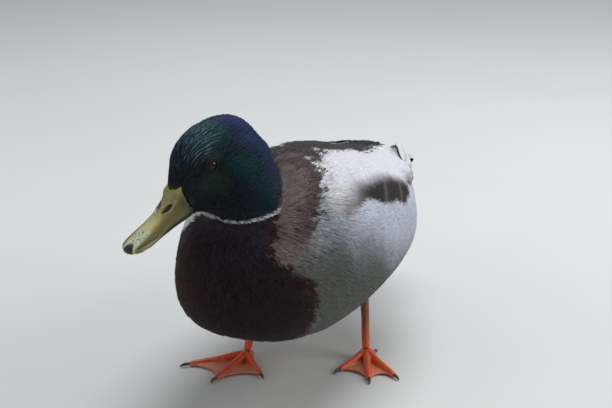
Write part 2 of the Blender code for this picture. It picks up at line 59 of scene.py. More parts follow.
def applyAll(piece):
    pick(piece)
    for modifier in list(piece.modifiers):
        bpy.ops.object.modifier_apply(modifier=modifier.name)


def copyNodes(name, nodeNames, grow):
    # one object from copies of CAD nodes, each merged and grown a little so that they melt together
    copies = []
    for node in nodeNames:
        copy = bpy.data.objects.new(name, nodes[node].data.copy())
        bpy.context.scene.collection.objects.link(copy)
        copy.data.materials.clear()
        pick(copy)
        bpy.ops.object.mode_set(mode="EDIT")
        bpy.ops.mesh.select_all(action="SELECT")
        bpy.ops.mesh.remove_doubles(threshold=0.00001)
        bpy.ops.object.mode_set(mode="OBJECT")
        if grow:
            swell = copy.modifiers.new("swell", "DISPLACE")
            swell.mid_level = 0
            swell.strength = grow * mm
            applyAll(copy)
        copies.append(copy)
    bpy.ops.object.select_all(action="DESELECT")
    for copy in copies:
        copy.select_set(True)
    bpy.context.view_layer.objects.active = copies[0]
    if len(copies) > 1:
        bpy.ops.object.join()
    whole = bpy.context.view_layer.objects.active
    whole.name = name
    return whole


def soften(piece, steps):
    smoothing = piece.modifiers.new("soften", "SMOOTH")
    smoothing.factor = 0.5
    smoothing.iterations = steps


def remesh(piece, voxel, steps):
    # even faces about voxel mm wide, then smoothed
    voxels = piece.modifiers.new("voxels", "REMESH")
    voxels.mode = "VOXEL"
    voxels.voxel_size = voxel * mm
    soften(piece, steps)
    applyAll(piece)


def readAll(items, attribute, width, kind=np.float32):
    # one row of width numbers for each item of a mesh's list
    values = np.empty(len(items) * width, kind)
    items.foreach_get(attribute, values)
    return values.reshape(-1, width)


def pointsOf(piece):
    return readAll(piece.data.vertices, "co", 3).astype(float) / mm


def normalsOf(piece):
    return readAll(piece.data.vertex_normals, "vector", 3).astype(float)


def movePoints(piece, points):
    piece.data.vertices.foreach_set("co", (points * mm).astype(np.float32).ravel())
    piece.data.update()


def paint(piece, colours, name="markings"):
    layer = piece.data.color_attributes.new(name, "FLOAT_COLOR", "POINT")
    rgba = np.ones((len(colours), 4), np.float32)
    rgba[:, :3] = colours
    layer.data.foreach_set("color", rgba.ravel())


def unit(v):
    return v / np.maximum(np.linalg.norm(v, axis=-1, keepdims=True), 1e-9)


def ease(low, high, x):
    # 0 at low, 1 at high, with soft ends; low may be the greater
    t = np.clip((x - low) / (high - low), 0, 1)
    return t * t * (3 - 2 * t)


def mix(under, over, weight):
    # colours between two others, with a weight for each point
    under = np.asarray(under)
    return under + (np.asarray(over) - under) * weight[:, None]


def sideOf(p):
    return np.abs(p[:, 0] - axisX)


def finishPiece(piece, material):
    pick(piece)
    bpy.ops.object.shade_smooth()
    piece.data.materials.append(material)


def hand(piece, body, slotName, *replaced):
    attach(piece, body)
    if replaced:
        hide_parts(*replaced)


# camera, light and floor

shot = {"place": (0.37763, -1.11839, 0.44352), "turn": (74.5, 0, 19), "lens": 94.118, "film": 36,
        "near": 0.05}
cameraData = bpy.data.cameras.new("camera")
cameraData.lens = shot["lens"]
cameraData.sensor_width = shot["film"]
cameraData.clip_start = shot["near"]
camera = bpy.data.objects.new("camera", cameraData)
camera.location = shot["place"]
camera.rotation_euler = [math.radians(a) for a in shot["turn"]]
bpy.context.scene.collection.objects.link(camera)
bpy.context.scene.camera = camera
bpy.context.scene.view_settings.view_transform = "Standard"

lamps = {
    "skyPanel": {"place": (0.15, 0.75, 1.9), "aim": (0.0, 0.0, 0.12), "size": 1.5, "power": 30,
                 "tint": (0.93, 0.96, 1.0)},
    "sidePanel": {"place": (1.5, 0.3, 1.0), "aim": (0.0, 0.0, 0.1), "size": 1.0, "power": 9,
                  "tint": (1.0, 0.98, 0.95)},
    "frontFill": {"place": (-0.9, -1.7, 0.9), "aim": (0.0, -0.1, 0.12), "size": 1.4, "power": 2.5,
                  "tint": (1.0, 0.98, 0.95)},
}
for lampName, lamp in lamps.items():
    lightData = bpy.data.lights.new(lampName, "AREA")
    lightData.shape = "DISK"
    lightData.size = lamp["size"]
    lightData.energy = lamp["power"]
    lightData.color = lamp["tint"]
    light = bpy.data.objects.new(lampName, lightData)
    light.location = lamp["place"]
    light.rotation_euler = (Vector(lamp["aim"]) - Vector(lamp["place"])).to_track_quat("-Z", "Y").to_euler()
    bpy.context.scene.collection.objects.link(light)

daylight = {"tint": (0.90, 0.93, 0.97, 1), "strength": 0.36}
world = bpy.data.worlds.new("studio")
bpy.context.scene.world = world
world.use_nodes = True
world.node_tree.nodes["Background"].inputs["Color"].default_value = daylight["tint"]
world.node_tree.nodes["Background"].inputs["Strength"].default_value = daylight["strength"]

floorWidth = 14
bpy.ops.object.select_all(action="DESELECT")
bpy.ops.mesh.primitive_grid_add(x_subdivisions=8, y_subdivisions=8, size=floorWidth, location=(0, 0, 0))
floor = bpy.context.object
floor.name = "floor"


# materials

class Shader:
    # a principled surface and the nodes that feed it

    def __init__(self, name, **sockets):
        self.material = bpy.data.materials.new(name)
        self.material.use_nodes = True
        self.tree = self.material.node_tree
        self.surface = self.tree.nodes["Principled BSDF"]
        for socket, value in sockets.items():
            self.set(socket, value)

    def set(self, socket, value):
        self.surface.inputs[socket.replace("_", " ")].default_value = value

    def node(self, kind, **values):
        made = self.tree.nodes.new(kind)
        for name, value in values.items():
            if hasattr(made, name):
                setattr(made, name, value)
            else:
                made.inputs[name.replace("_", " ")].default_value = value
        return made

    def join(self, source, output, target, socket):
        self.tree.links.new(source.outputs[output], target.inputs[socket])

    def coordinates(self, scale=(1, 1, 1), uvName=None):
        if uvName:
            place = self.node("ShaderNodeUVMap", uv_map=uvName)
            out = "UV"
        else:
            place = self.node("ShaderNodeTexCoord")
            out = "Object"
        mapping = self.node("ShaderNodeMapping")
        mapping.inputs["Scale"].default_value = scale
        self.join(place, out, mapping, "Vector")
        return mapping

    def noise(self, mapping, scale, detail=3, roughness=0.55):
        made = self.node("ShaderNodeTexNoise", Scale=scale, Detail=detail, Roughness=roughness)
        self.join(mapping, "Vector", made, "Vector")
        return made

    def ramp(self, source, output, stops):
        made = self.node("ShaderNodeValToRGB")
        while len(made.color_ramp.elements) < len(stops):
            made.color_ramp.elements.new(0.5)
        for element, (place, colour) in zip(made.color_ramp.elements, stops):
            element.position = place
            element.color = (*colour, 1)
        self.join(source, output, made, "Fac")
        return made

    def mix(self, how, factor, first, second):
        # factor is a number or a (node, output) pair, first and second are pairs or colours
        made = self.node("ShaderNodeMix", data_type="RGBA", blend_type=how)
        for socket, value in ((0, factor), (6, first), (7, second)):
            if isinstance(value, float):
                made.inputs[socket].default_value = value
            elif isinstance(value[0], float):
                made.inputs[socket].default_value = (*value, 1)
            else:
                self.join(*value, made, socket)
        return made

    def attribute(self, name):
        return self.node("ShaderNodeAttribute", attribute_name=name)

    def bump(self, source, output, height, strength=0.5):
        made = self.node("ShaderNodeBump", Strength=strength, Distance=height * mm)
        self.join(source, output, made, "Height")
        self.join(made, "Normal", self.surface, "Normal")

    def colourFrom(self, source, output):
        self.join(source, output, self.surface, "Base Color")

    def plainGrain(self, scale, detail, stops):
        # the surface takes its colour from a noise, which is returned
        grain = self.noise(self.coordinates(), scale, detail)
        self.colourFrom(self.ramp(grain, "Fac", stops), "Color")
        return grain

    def paintedGrain(self, scale, detail, stops, stretch=(1, 1, 1)):
        # the painted markings made uneven by a noise; returns the noise and the mixed colour
        grain = self.noise(self.coordinates(stretch), scale, detail)
        tone = self.ramp(grain, "Fac", stops)
        return grain, self.mix("MULTIPLY", 1.0, (self.attribute("markings"), "Color"), (tone, "Color"))


floorShader = Shader("paleFloor", Roughness=0.85)
floorShader.plainGrain(2.0, 3, [(0.3, (0.66, 0.665, 0.65)), (0.7, (0.70, 0.70, 0.685))])
floor.data.materials.append(floorShader.material)


def plumageShader(name, roughness, sheen, tint, barbs, streaks, metallic=0.0, coat=0.0, specular=0.25):
    # colour from the painted markings, fine barbs slanting from the shaft, soft streaks along the vane
    look = Shader(name, Roughness=roughness, Metallic=metallic, Sheen_Weight=sheen, Sheen_Roughness=0.35,
                  Coat_Weight=coat, Coat_Roughness=0.3, Specular_IOR_Level=specular)
    look.set("Sheen_Tint", (*tint, 1))
    look.set("Specular_Tint", (*tint, 1))
    painted = look.attribute("markings")
    vane = look.coordinates((1, 1, 1), "vane")
    split = look.node("ShaderNodeSeparateXYZ")
    look.join(vane, "Vector", split, "Vector")
    side = look.node("ShaderNodeMath", operation="ABSOLUTE")
    look.join(split, "X", side, 0)
    slant = look.node("ShaderNodeMath", operation="SUBTRACT")
    look.join(split, "Y", slant, 0)
    look.join(side, 0, slant, 1)
    barbPlace = look.node("ShaderNodeCombineXYZ")
    look.join(slant, 0, barbPlace, "Y")
    barbLines = look.node("ShaderNodeTexWave", Scale=barbs, Distortion=1.5, Detail=2)
    barbLines.bands_direction = "Y"
    look.join(barbPlace, "Vector", barbLines, "Vector")
    stretched = look.node("ShaderNodeMapping")
    stretched.inputs["Scale"].default_value = (6, 1.1, 1)
    look.join(vane, "Vector", stretched, "Vector")
    hairs = look.noise(stretched, 2.6, 4)
    tone = look.ramp(hairs, "Fac", [(0.25, (1 - streaks,) * 3), (0.75, (1, 1, 1))])
    shaded = look.mix("MULTIPLY", 1.0, (painted, "Color"), (tone, "Color"))
    lines = look.ramp(barbLines, "Color", [(0.0, (0.86,) * 3), (1.0, (1, 1, 1))])
    finished = look.mix("MULTIPLY", 0.8, (shaded, 2), (lines, "Color"))
    look.colourFrom(finished, 2)
    look.bump(barbLines, "Color", 0.12, 0.35)
    return look.material


plumage = {
    "headPlumage": {"roughness": 0.42, "sheen": 0.07, "tint": (0.22, 0.42, 0.80), "barbs": 2.6,
                    "streaks": 0.45, "metallic": 0.30, "specular": 0.3},
    "breastPlumage": {"roughness": 0.70, "sheen": 0.10, "tint": (0.42, 0.36, 0.50), "barbs": 2.0,
                      "streaks": 0.25, "specular": 0.15},
    "bodyPlumage": {"roughness": 0.80, "sheen": 0.05, "tint": (0.8, 0.85, 0.95), "barbs": 1.8,
                    "streaks": 0.35, "specular": 0.12},
    "wingPlumage": {"roughness": 0.75, "sheen": 0.04, "tint": (0.8, 0.85, 0.95), "barbs": 1.6,
                    "streaks": 0.14, "specular": 0.12},
    "glossyPlumage": {"roughness": 0.38, "sheen": 0.12, "tint": (0.2, 0.4, 0.5), "barbs": 1.6,
                      "streaks": 0.25, "coat": 0.10},
    "curlPlumage": {"roughness": 0.35, "sheen": 0.2, "tint": (0.2, 0.4, 0.5), "barbs": 1.6,
                    "streaks": 0.2, "coat": 0.2},
}
looks = {name: plumageShader(name, **finish) for name, finish in plumage.items()}


# the head's own directions

headPitch = 22
eyeMiddle = {}
for sideName in ("left", "right"):
    low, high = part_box("eye_" + sideName)
    eyeMiddle[sideName] = np.array((low + high) / 2) / mm
headPlace = (eyeMiddle["left"] + eyeMiddle["right"]) / 2
acrossHead = eyeMiddle["left"] - eyeMiddle["right"]
headYaw = math.atan2(acrossHead[1], acrossHead[0])
headTurn = np.array(Euler((math.radians(headPitch), 0, headYaw)).to_matrix())


def toHead(points):
    # side (left is plus), ahead along the bill, and up, in mm from between the eyes
    local = (points - headPlace) @ headTurn
    return np.stack([local[:, 0], -local[:, 1], local[:, 2]], 1)


def fromHead(local):
    local = np.atleast_2d(np.array(local, float))
    return np.stack([local[:, 0], -local[:, 1], local[:, 2]], 1) @ headTurn.T + headPlace


eyeSizes = {"radius": 5.0, "inward": 0.7, "lidLevel": 3.45, "forward": -0.14, "upward": 0.28,
            "opening": 4.1, "pressed": 7.5, "underBall": 0.9, "underLid": 0.25}
eyeOutward, eyeBall = {}, {}
for sideName, sign in (("left", 1), ("right", -1)):
    eyeOutward[sideName] = headTurn @ unit(np.array([sign, eyeSizes["forward"], eyeSizes["upward"]]))
    eyeBall[sideName] = eyeMiddle[sideName] - headTurn @ np.array([sign * eyeSizes["inward"], 0, 0])


# markings, shared by the skin and the coat

headBase = (0.012, 0.014, 0.013)
headPatches = [
    # middle (side, ahead, up), reach, colour, strength
    ((3, 2, 17), (15, 22, 9), (0.012, 0.028, 0.036), 0.9),  # forehead and front crown
    ((9, -17, 16), (13, 11, 9), (0.004, 0.042, 0.030), 0.95),  # green side of the crown
    ((3, -40, 12), (13, 10, 11), (0.026, 0.022, 0.130), 0.95),  # violet rear crown, a painted sheen of the green head's gloss
    ((0, -47, -6), (14, 9, 24), (0.008, 0.014, 0.075), 0.9),  # blue nape, a painted sheen of the green head's gloss
    ((24, -38, 2), (9, 9, 13), (0.009, 0.015, 0.080), 0.9),
    ((28, -41, -10), (9, 9, 22), (0.004, 0.016, 0.065), 0.9),  # blue rim of the neck, a painted sheen of the green head's gloss
    ((22, 3, -9), (13, 11, 8), (0.024, 0.044, 0.022), 0.95),  # green cheek
    ((27, -13, -3), (8, 5, 4), (0.003, 0.055, 0.042), 0.9),  # teal streak behind the eye
    ((34, -16, -8), (7, 6, 5), (0.003, 0.050, 0.042), 0.9),
    ((40, -17, -17), (6, 7, 9), (0.002, 0.026, 0.030), 0.9),
    ((43, -14, -28), (7, 7, 9), (0.002, 0.018, 0.022), 0.9),
    ((22, -18, 5), (9, 9, 4), (0.007, 0.012, 0.011), 0.9),  # dark above the streak
    ((39, -6, -18), (9, 8, 9), (0.009, 0.010, 0.009), 0.8),  # dark behind the cheek
    ((9, 15, 1), (9, 9, 6), (0.009, 0.009, 0.010), 0.95),  # lores
    ((20, 11, -25), (20, 12, 8), (0.008, 0.008, 0.009), 0.95),  # lower cheek and throat
]
bodyTones = {
    "ring": (0.62, 0.63, 0.65),
    "chestnut": (0.024, 0.016, 0.018),
    "chestnutSheen": (0.032, 0.026, 0.038),
    "chestnutEdge": (0.034, 0.015, 0.013),
    "chestnutRight": (0.042, 0.021, 0.016),
    "band": (0.150, 0.112, 0.104),
    "bandEdge": (0.072, 0.050, 0.045),
    "bandLow": (0.195, 0.170, 0.155),
    "mantle": (0.050, 0.040, 0.041),
    "spot": (0.60, 0.55, 0.56),
    "scapular": (0.78, 0.77, 0.82),
    "wingEdgeShade": (0.115, 0.098, 0.092),
    "tertial": (0.028, 0.022, 0.017),
    "tertialEdge": (0.30, 0.27, 0.25),
    "flankTop": (0.58, 0.62, 0.73),
    "flankShade": (0.118, 0.122, 0.110),
    "belly": (0.36, 0.36, 0.33),
    "rump": (0.010, 0.014, 0.016),
    "tail": (0.60, 0.58, 0.55),
    "primary": (0.105, 0.088, 0.078),
    "shoulder": (0.92, 0.93, 0.92),
    "thigh": (0.30, 0.29, 0.26),
    "speculum": (0.02, 0.045, 0.20),
}

# where each edge of the body's markings runs
chestnutEdge = ([50, 73, 80, 88, 98, 105, 111, 116, 119, 124, 129, 136, 144, 151, 170],
                [60, 57, 57, 56, 57, 56, 49, 42, 37, 32, 29, 31, 36, 36, 34])
# the breast is turned a little to its right, so the right edge lies farther back
chestnutEdgeRight = ([50, 73, 112, 120, 126, 132, 140, 146, 154, 170],
                     [88, 94, 94, 90, 80, 68, 60, 50, 34, 30])
bandEdge = ([115, 119, 123, 131, 137, 144, 146, 151, 158, 165, 172, 178],
            [30, 42, 52, 60, 67, 76, 80, 90, 106, 127, 150, 180])
bladeMiddle = ([49, 67, 91, 121, 149, 171], [43, 47, 42, 31, 21, 12])  # the folded primaries, from the middle
bladeReach = ([49, 67, 91, 121, 149, 171], [4, 9, 10, 8, 5.5, 3])
mantleReach = ([-110, -79, -61, -33, -6, 26, 57, 82, 104, 123], [40, 27, 21, 24, 25, 25, 22, 17, 14, 13])
wingFoot = ([-125, -118, -114, -110, -97, -79, -63, -49, -34, -10, 12, 36, 64, 100, 150],
            [152, 145, 138, 136, 138, 140, 141, 136, 130, 126, 118, 118, 118, 118, 112])

# a few pale tips show among the mantle's feathers
mantleSpots = [((18, -52, 172), (2, 4, 5)), ((22, -84, 170), (2, 4, 5)), ((13, 4, 166), (1.3, 7, 6)),
               ((12, 38, 158), (1.2, 5, 6))]
rumpReach = ([88, 100, 118, 137, 150, 160], [0, 6, 13, 18, 34, 44])


def aboveCollar(p):
    # the ring lies on a sloping plane, and dips where it ends at the side of the neck
    level = 219.9 - 0.04 * p[:, 0] + 0.406 * p[:, 1] - 2.2 * np.exp(-((p[:, 1] + 153) / 8) ** 2)
    return (p[:, 2] - level) * 0.926


def turnAngle(p):
    return np.degrees(np.arctan2(sideOf(p), -(p[:, 1] + 120)))


def chestEdge(p):
    left = np.interp(p[:, 2], *chestnutEdge)
    right = np.interp(p[:, 2], *chestnutEdgeRight)
    return left + (right - left) * ease(6, -14, p[:, 0] - axisX)


def isBlade(p):
    bladeEdge = np.interp(p[:, 1], *bladeMiddle) - np.interp(p[:, 1], *bladeReach) - 0.5
    return (p[:, 1] > 112) & (p[:, 2] > 112) & (sideOf(p) > bladeEdge)


def markings(p, wobble=None):
    # colour of the plumage at points given in mm; wobble frays the edges
    if wobble is None:
        wobble = np.zeros(len(p))
    side, leftward = sideOf(p), p[:, 0] - axisX
    y, z = p[:, 1], p[:, 2]
    turn = turnAngle(p)
    innerEdge = chestEdge(p)
    outerEdge = innerEdge + 25 * ease(8, -8, leftward) * ease(110, 130, z)
    outerEdge = np.maximum(np.interp(z, *bandEdge), outerEdge)
    foot = np.interp(y, *wingFoot)
    # flank, painted darker downward and toward the front as painted shade, and belly
    flankLitShare = ease(43, -3, foot - z - 20 * ease(-100, -35, y) + 2 * wobble)
    flankLitShare = flankLitShare * (0.55 + 0.45 * ease(-130, -60, y))
    colour = mix(bodyTones["flankShade"], bodyTones["flankTop"], flankLitShare)
    colour = mix(colour, bodyTones["belly"], ease(64, 54, z) * ease(-120, -90, y))
    # scapulars above the wing's foot, with painted shade along the wing's lower edge, then the dark wing
    # patch and the mantle
    wing = ease(-2, 2, z - foot + wobble) * ease(-120, -100, y)
    colour = mix(colour, bodyTones["scapular"], wing)
    # painted shade: grey-brown along the wing's lower edge, fading upward and forward
    wingEdgeShade = ease(19, 0, z - foot + wobble) * ease(-30, -60, y) * wing
    colour = mix(colour, bodyTones["wingEdgeShade"], 0.85 * wingEdgeShade)
    # the dark tertials show through low on the wing, with the pale edges of two of them
    inPatch = ease(46.5, 55.5, side + 0.6 * wobble) * ease(-96, -50, y) * ease(112, 96, y) * wing
    colour = mix(colour, bodyTones["tertial"], inPatch)
    row = y + 2.75 * (side - 54)
    rows = np.exp(-((row + 10) / 3.5) ** 2) + np.exp(-((row - 30) / 3) ** 2)
    colour = mix(colour, bodyTones["tertialEdge"], 0.3 * rows * inPatch)
    rightSide = ease(2, -6, leftward)
    reach = np.interp(y, *mantleReach) - 11 * rightSide * ease(10, -25, y) * ease(-112, -100, y)
    inMantle = ease(2.5, -2.5, side - reach + 1.5 * wobble) * ease(126, 132, z)
    colour = mix(colour, bodyTones["mantle"], inMantle)
    for place, size in mantleSpots:
        spot = np.exp(-(((p - place) / size) ** 2).sum(1))
        colour = mix(colour, bodyTones["spot"], np.minimum(1.3 * spot, 0.9))
    # the blue of the folded wing shows low and far behind
    blue = ease(78, 90, y + 3 * wobble) * ease(118, 106, y)
    blue = blue * ease(-1.5, 0, z - foot) * ease(7, 5, z - foot)
    colour = mix(colour, bodyTones["speculum"], 0.9 * blue)
    # rump, tail coverts, undertail
    rump = ease(-3, 3, np.interp(y, *rumpReach) - side + wobble) * ease(86, 92, y)
    under = ease(96, 118, y + 3 * wobble) * ease(112, 104, z)
    colour = mix(colour, bodyTones["rump"], np.maximum(rump, under))
    colour = mix(colour, bodyTones["tail"], ease(172, 178, y + wobble))
    colour = mix(colour, bodyTones["primary"], isBlade(p) * ease(112, 130, y))
    # shoulder band and chestnut breast
    band = ease(3, -3, turn - outerEdge + 2 * wobble) * ease(112, 119, z) * ease(-52, -62, y)
    near = ease(-30, -8, turn - outerEdge) * ease(128, 140, z) * ease(170, 145, turn)
    bandTone = mix(bodyTones["band"], bodyTones["bandEdge"], near)
    bandTone = mix(bandTone, bodyTones["bandLow"], 0.7 * ease(138, 124, z) * (1 - near))
    colour = mix(colour, bandTone, band)
    # the pale feathers at the right shoulder, painted brighter than their own white as painted light from
    # behind
    shoulder = band * ease(0, -12, leftward) * ease(34, 20, turn - innerEdge) * ease(116, 124, z)
    colour = mix(colour, bodyTones["shoulder"], shoulder)
    chest = ease(3, -3, turn - innerEdge + 2 * wobble)
    # the upper breast is painted a bluish violet, as a painted sheen
    chestTone = mix(bodyTones["chestnut"], bodyTones["chestnutSheen"], ease(112, 146, z))
    chestTone = mix(chestTone, bodyTones["chestnutEdge"], ease(-11, -2, turn - innerEdge))
    chestTone = mix(chestTone, bodyTones["chestnutRight"], ease(-14, -38, leftward) * ease(135, 115, z))
    colour = mix(colour, chestTone, chest)
    # thighs
    low = ease(66, 56, z) * ease(-66, -56, y) * ease(36, 26, y) * ease(8, 14, side)
    colour = mix(colour, bodyTones["thigh"], low)
    # white ring, then the head
    above = aboveCollar(p)
    ringDepth = 1.7 + 2.6 * ease(-8, -20, p[:, 0])
    ring = ease(-ringDepth - 0.7, -ringDepth + 0.3, above + 0.2 * wobble) * ease(-148, -154, y)
    colour = mix(colour, bodyTones["ring"], ring)
    local = toHead(p)
    local[:, 0] = np.abs(local[:, 0])
    head = headBase
    for middle, reach, tone, strength in headPatches:
        away = (((local - middle) / reach) ** 2).sum(1)
        head = mix(head, tone, strength / (1 + away ** 2))
    isHeadPart = ease(-1.2, 0.2, above + 0.3 * wobble)[:, None]
    return colour * (1 - isHeadPart) + head * isHeadPart


# the skin

fleshNodes = ["head", "neck", "trunk", "wing_left", "wing_right", "tail", "thigh_left", "thigh_right"]
skinSizes = {"voxel": 1.7, "grow": 0.5, "steps": 5, "settleSteps": 3, "shade": 0.6,
             "hollowPlace": (8, -38, 10), "hollowReach": 13, "hollowFill": 0.8}
skin = copyNodes("skin", fleshNodes + ["eye_left", "eye_right"], skinSizes["grow"])
remesh(skin, skinSizes["voxel"], skinSizes["steps"])
shell = pointsOf(skin)
shellNormals = normalsOf(skin)
# a little more flesh in the hollow between crown and nape
hollow = fromHead(skinSizes["hollowPlace"])[0]
fromHollow = np.linalg.norm(shell - hollow, axis=1) / skinSizes["hollowReach"]
fill = skinSizes["hollowFill"] * np.exp(-fromHollow ** 2)
shell = shell + shellNormals * fill[:, None]


# how deep the coat is, in mm; the thin tail's depth goes from its root backward
depths = {"body": 3.2, "neck": 2.2, "nape": 2.2, "face": 0.7, "lid": 0.5, "eyeReach": 12, "belly": 1.6,
          "rear": ([120, 150, 170], [1.4, 0.8, 0.25])}


def coatDepth(p):
    # how far the skin lies under the coat's outside
    above = aboveCollar(p)
    depth = depths["body"] + (depths["neck"] - depths["body"]) * ease(-8, 2, above)
    headDepth = depths["nape"] + (depths["face"] - depths["nape"]) * ease(-20, 18, toHead(p)[:, 1])
    depth = np.where(above > 0, headDepth, depth)
    eyeGap = np.minimum(*[np.linalg.norm(p - ball, axis=1) for ball in eyeBall.values()])
    nearEye = depths["lid"] + 0.25 * np.maximum(eyeGap - 6, 0)
    depth = np.where(eyeGap < depths["eyeReach"], np.minimum(depth, nearEye), depth)
    behind = p[:, 1] > depths["rear"][0][0]
    depth = np.where(behind, np.minimum(depth, np.interp(p[:, 1], *depths["rear"])), depth)
    low = (p[:, 2] < 60) & (p[:, 1] > -70)
    return np.where(low, np.minimum(depth, depths["belly"]), depth)


movePoints(skin, shell - shellNormals * coatDepth(shell)[:, None])
soften(skin, skinSizes["settleSteps"])
applyAll(skin)
skinPoints = pointsOf(skin)
# the skin is pressed in where the eyeball shows
for sideName in ("left", "right"):
    gap = skinPoints - eyeBall[sideName]
    level = gap @ eyeOutward[sideName]
    fromAxis = np.sqrt(np.maximum((gap ** 2).sum(1) - level ** 2, 0))
    ball = np.sqrt(np.maximum(eyeSizes["radius"] ** 2 - fromAxis ** 2, 0)) - eyeSizes["underBall"]
    limit = np.where(fromAxis < eyeSizes["opening"], ball, eyeSizes["lidLevel"] - eyeSizes["underLid"])
    over = (level > limit) & (fromAxis < eyeSizes["pressed"]) & (level > 0)
    skinPoints[over] -= eyeOutward[sideName] * (level - limit)[over, None]
movePoints(skin, skinPoints)
pick(skin)
bpy.ops.object.shade_smooth()
bpy.ops.object.mode_set(mode="EDIT")
bpy.ops.mesh.select_all(action="SELECT")
unwrapSizes = {"angle": 66, "margin": 0.002}
bpy.ops.uv.smart_project(angle_limit=math.radians(unwrapSizes["angle"]), island_margin=unwrapSizes["margin"])
bpy.ops.object.mode_set(mode="OBJECT")
skin.data.uv_layers[0].name = "OFBake"
skin.data.calc_loop_triangles()
triangles = readAll(skin.data.loop_triangles, "vertices", 3, np.int32)
corners = readAll(skin.data.loop_triangles, "loops", 3, np.int32)
faceBake = readAll(skin.data.uv_layers["OFBake"].uv, "vector", 2)[corners].mean(1)
skinNormals = normalsOf(skin)
faceNormals = unit(skinNormals[triangles].sum(1))
tree = BVHTree.FromPolygons([tuple(p) for p in skinPoints], triangles.tolist())
# the skin takes the markings painted darker, as painted shade between the feathers
paint(skin, markings(skinPoints) * skinSizes["shade"])
print("skin:", len(skinPoints), "points,", len(triangles), "triangles")

edges = readAll(skin.data.edges, "vertices", 2, np.int32)
edgeLengths = np.linalg.norm(skinPoints[edges[:, 0]] - skinPoints[edges[:, 1]], axis=1)
lieSizes = {"billRoot": 30, "ahead": 12, "gap": 3, "fall": -0.06, "tailFan": 90, "flankRise": 0.22,
            "passes": 14, "blend": 0.6}


def distanceFromBill():
    # shortest way over the skin from the bill's root, which the coat lies away from
    bill = pointsOf(nodes["bill_upper"])
    bill = bill[toHead(bill)[:, 1] < lieSizes["billRoot"]]
    kd = KDTree(len(bill))
    for i, point in enumerate(bill):
        kd.insert(point, i)
    kd.balance()
    neighbours = [[] for _ in skinPoints]
    for (a, b), length in zip(edges.tolist(), edgeLengths.tolist()):
        neighbours[a].append((b, length))
        neighbours[b].append((a, length))
    best = np.full(len(skinPoints), np.inf)
    queue = []
    aheadOfEyes = np.where(toHead(skinPoints)[:, 1] > lieSizes["ahead"])[0]
    for i in aheadOfEyes:
        gap = kd.find(skinPoints[i])[2]
        if gap < lieSizes["gap"]:
            best[i] = gap
            heapq.heappush(queue, (gap, int(i)))
    while queue:
        far, i = heapq.heappop(queue)
        if far > best[i]:
            continue
        for j, length in neighbours[i]:
            if far + length < best[j] - 1e-9:
                best[j] = far + length
                heapq.heappush(queue, (far + length, j))
    best[np.isinf(best)] = best[np.isfinite(best)].max()
    return best


billDistance = distanceFromBill()
lie = np.zeros_like(skinPoints)
step = skinPoints[edges[:, 1]] - skinPoints[edges[:, 0]]
pull = step * ((billDistance[edges[:, 1]] - billDistance[edges[:, 0]]) / edgeLengths ** 2)[:, None]
for end in (0, 1):
    for axis in range(3):
        lie[:, axis] += np.bincount(edges[:, end], pull[:, axis], len(lie))
lie = unit(lie)
# it runs straight back over wing, rump and tail, and is then evened out
rearward = ease(-110, -60, skinPoints[:, 1]) * ease(84, 100, skinPoints[:, 2])
rearward = np.maximum(rearward, ease(60, 100, skinPoints[:, 1]))
guide = np.tile(np.array([0.0, 1.0, lieSizes["fall"]]), (len(lie), 1))
guide[:, 0] = (skinPoints[:, 0] - axisX) / lieSizes["tailFan"] * ease(140, 170, skinPoints[:, 1])
flankRise = ease(118, 96, skinPoints[:, 2]) * ease(66, 84, skinPoints[:, 2])
flankRise = flankRise * ease(-110, -40, skinPoints[:, 1])
guide[:, 2] += lieSizes["flankRise"] * flankRise
lie = lie * (1 - rearward)[:, None] + guide * rearward[:, None]
counts = np.bincount(edges.ravel(), minlength=len(lie))[:, None]
for _ in range(lieSizes["passes"]):
    total = np.zeros_like(lie)
    for axis in range(3):
        total[:, axis] = np.bincount(edges[:, 0], lie[edges[:, 1], axis], len(lie)) \
            + np.bincount(edges[:, 1], lie[edges[:, 0], axis], len(lie))
    lie = unit((1 - lieSizes["blend"]) * lie + lieSizes["blend"] * total / np.maximum(counts, 1))
    lie = unit(lie - skinNormals * (lie * skinNormals).sum(1, keepdims=True))
faceLie = unit(lie[triangles].sum(1))
print("lie of the coat found")


# feathers

def meshFromTriangles(name, points, faces):
    data = bpy.data.meshes.new(name)
    data.vertices.add(len(points))
    data.vertices.foreach_set("co", (points * mm).astype(np.float32).ravel())
    data.loops.add(faces.size)
    data.loops.foreach_set("vertex_index", faces.astype(np.int32).ravel())
    data.polygons.add(len(faces))
    data.polygons.foreach_set("loop_start", np.arange(0, faces.size, 3, dtype=np.int32))
    data.update(calc_edges=True)
    data.polygons.foreach_set("use_smooth", np.ones(len(faces), bool))
    piece = bpy.data.objects.new(name, data)
    bpy.context.scene.collection.objects.link(piece)
    return piece


def setMap(piece, name, places):
    layer = piece.data.uv_layers.new(name=name, do_init=False)
    loops = readAll(piece.data.loops, "vertex_index", 1, np.int32)[:, 0]
    layer.uv.foreach_set("vector", places[loops].astype(np.float32).ravel())


def featherFaces(rows, columns):
    # one feather: a root point, rows of columns + 1 points, a tip point, closed underneath
    across = columns + 1
    ring = lambda row: [1 + row * across + c for c in range(across)]
    faces = []
    tip = 1 + rows * across
    first, last = ring(0), ring(rows - 1)
    for c in range(columns):
        faces.append((0, first[c], first[c + 1]))
        faces.append((tip, last[c + 1], last[c]))
    faces.append((0, first[columns], first[0]))
    faces.append((tip, last[0], last[columns]))
    for row in range(rows - 1):
        near, far = ring(row), ring(row + 1)
        for c in range(columns):
            faces += [(near[c], far[c], far[c + 1]), (near[c], far[c + 1], near[c + 1])]
        faces += [(near[columns], far[columns], far[0]), (near[columns], far[0], near[0])]
    return np.array(faces)


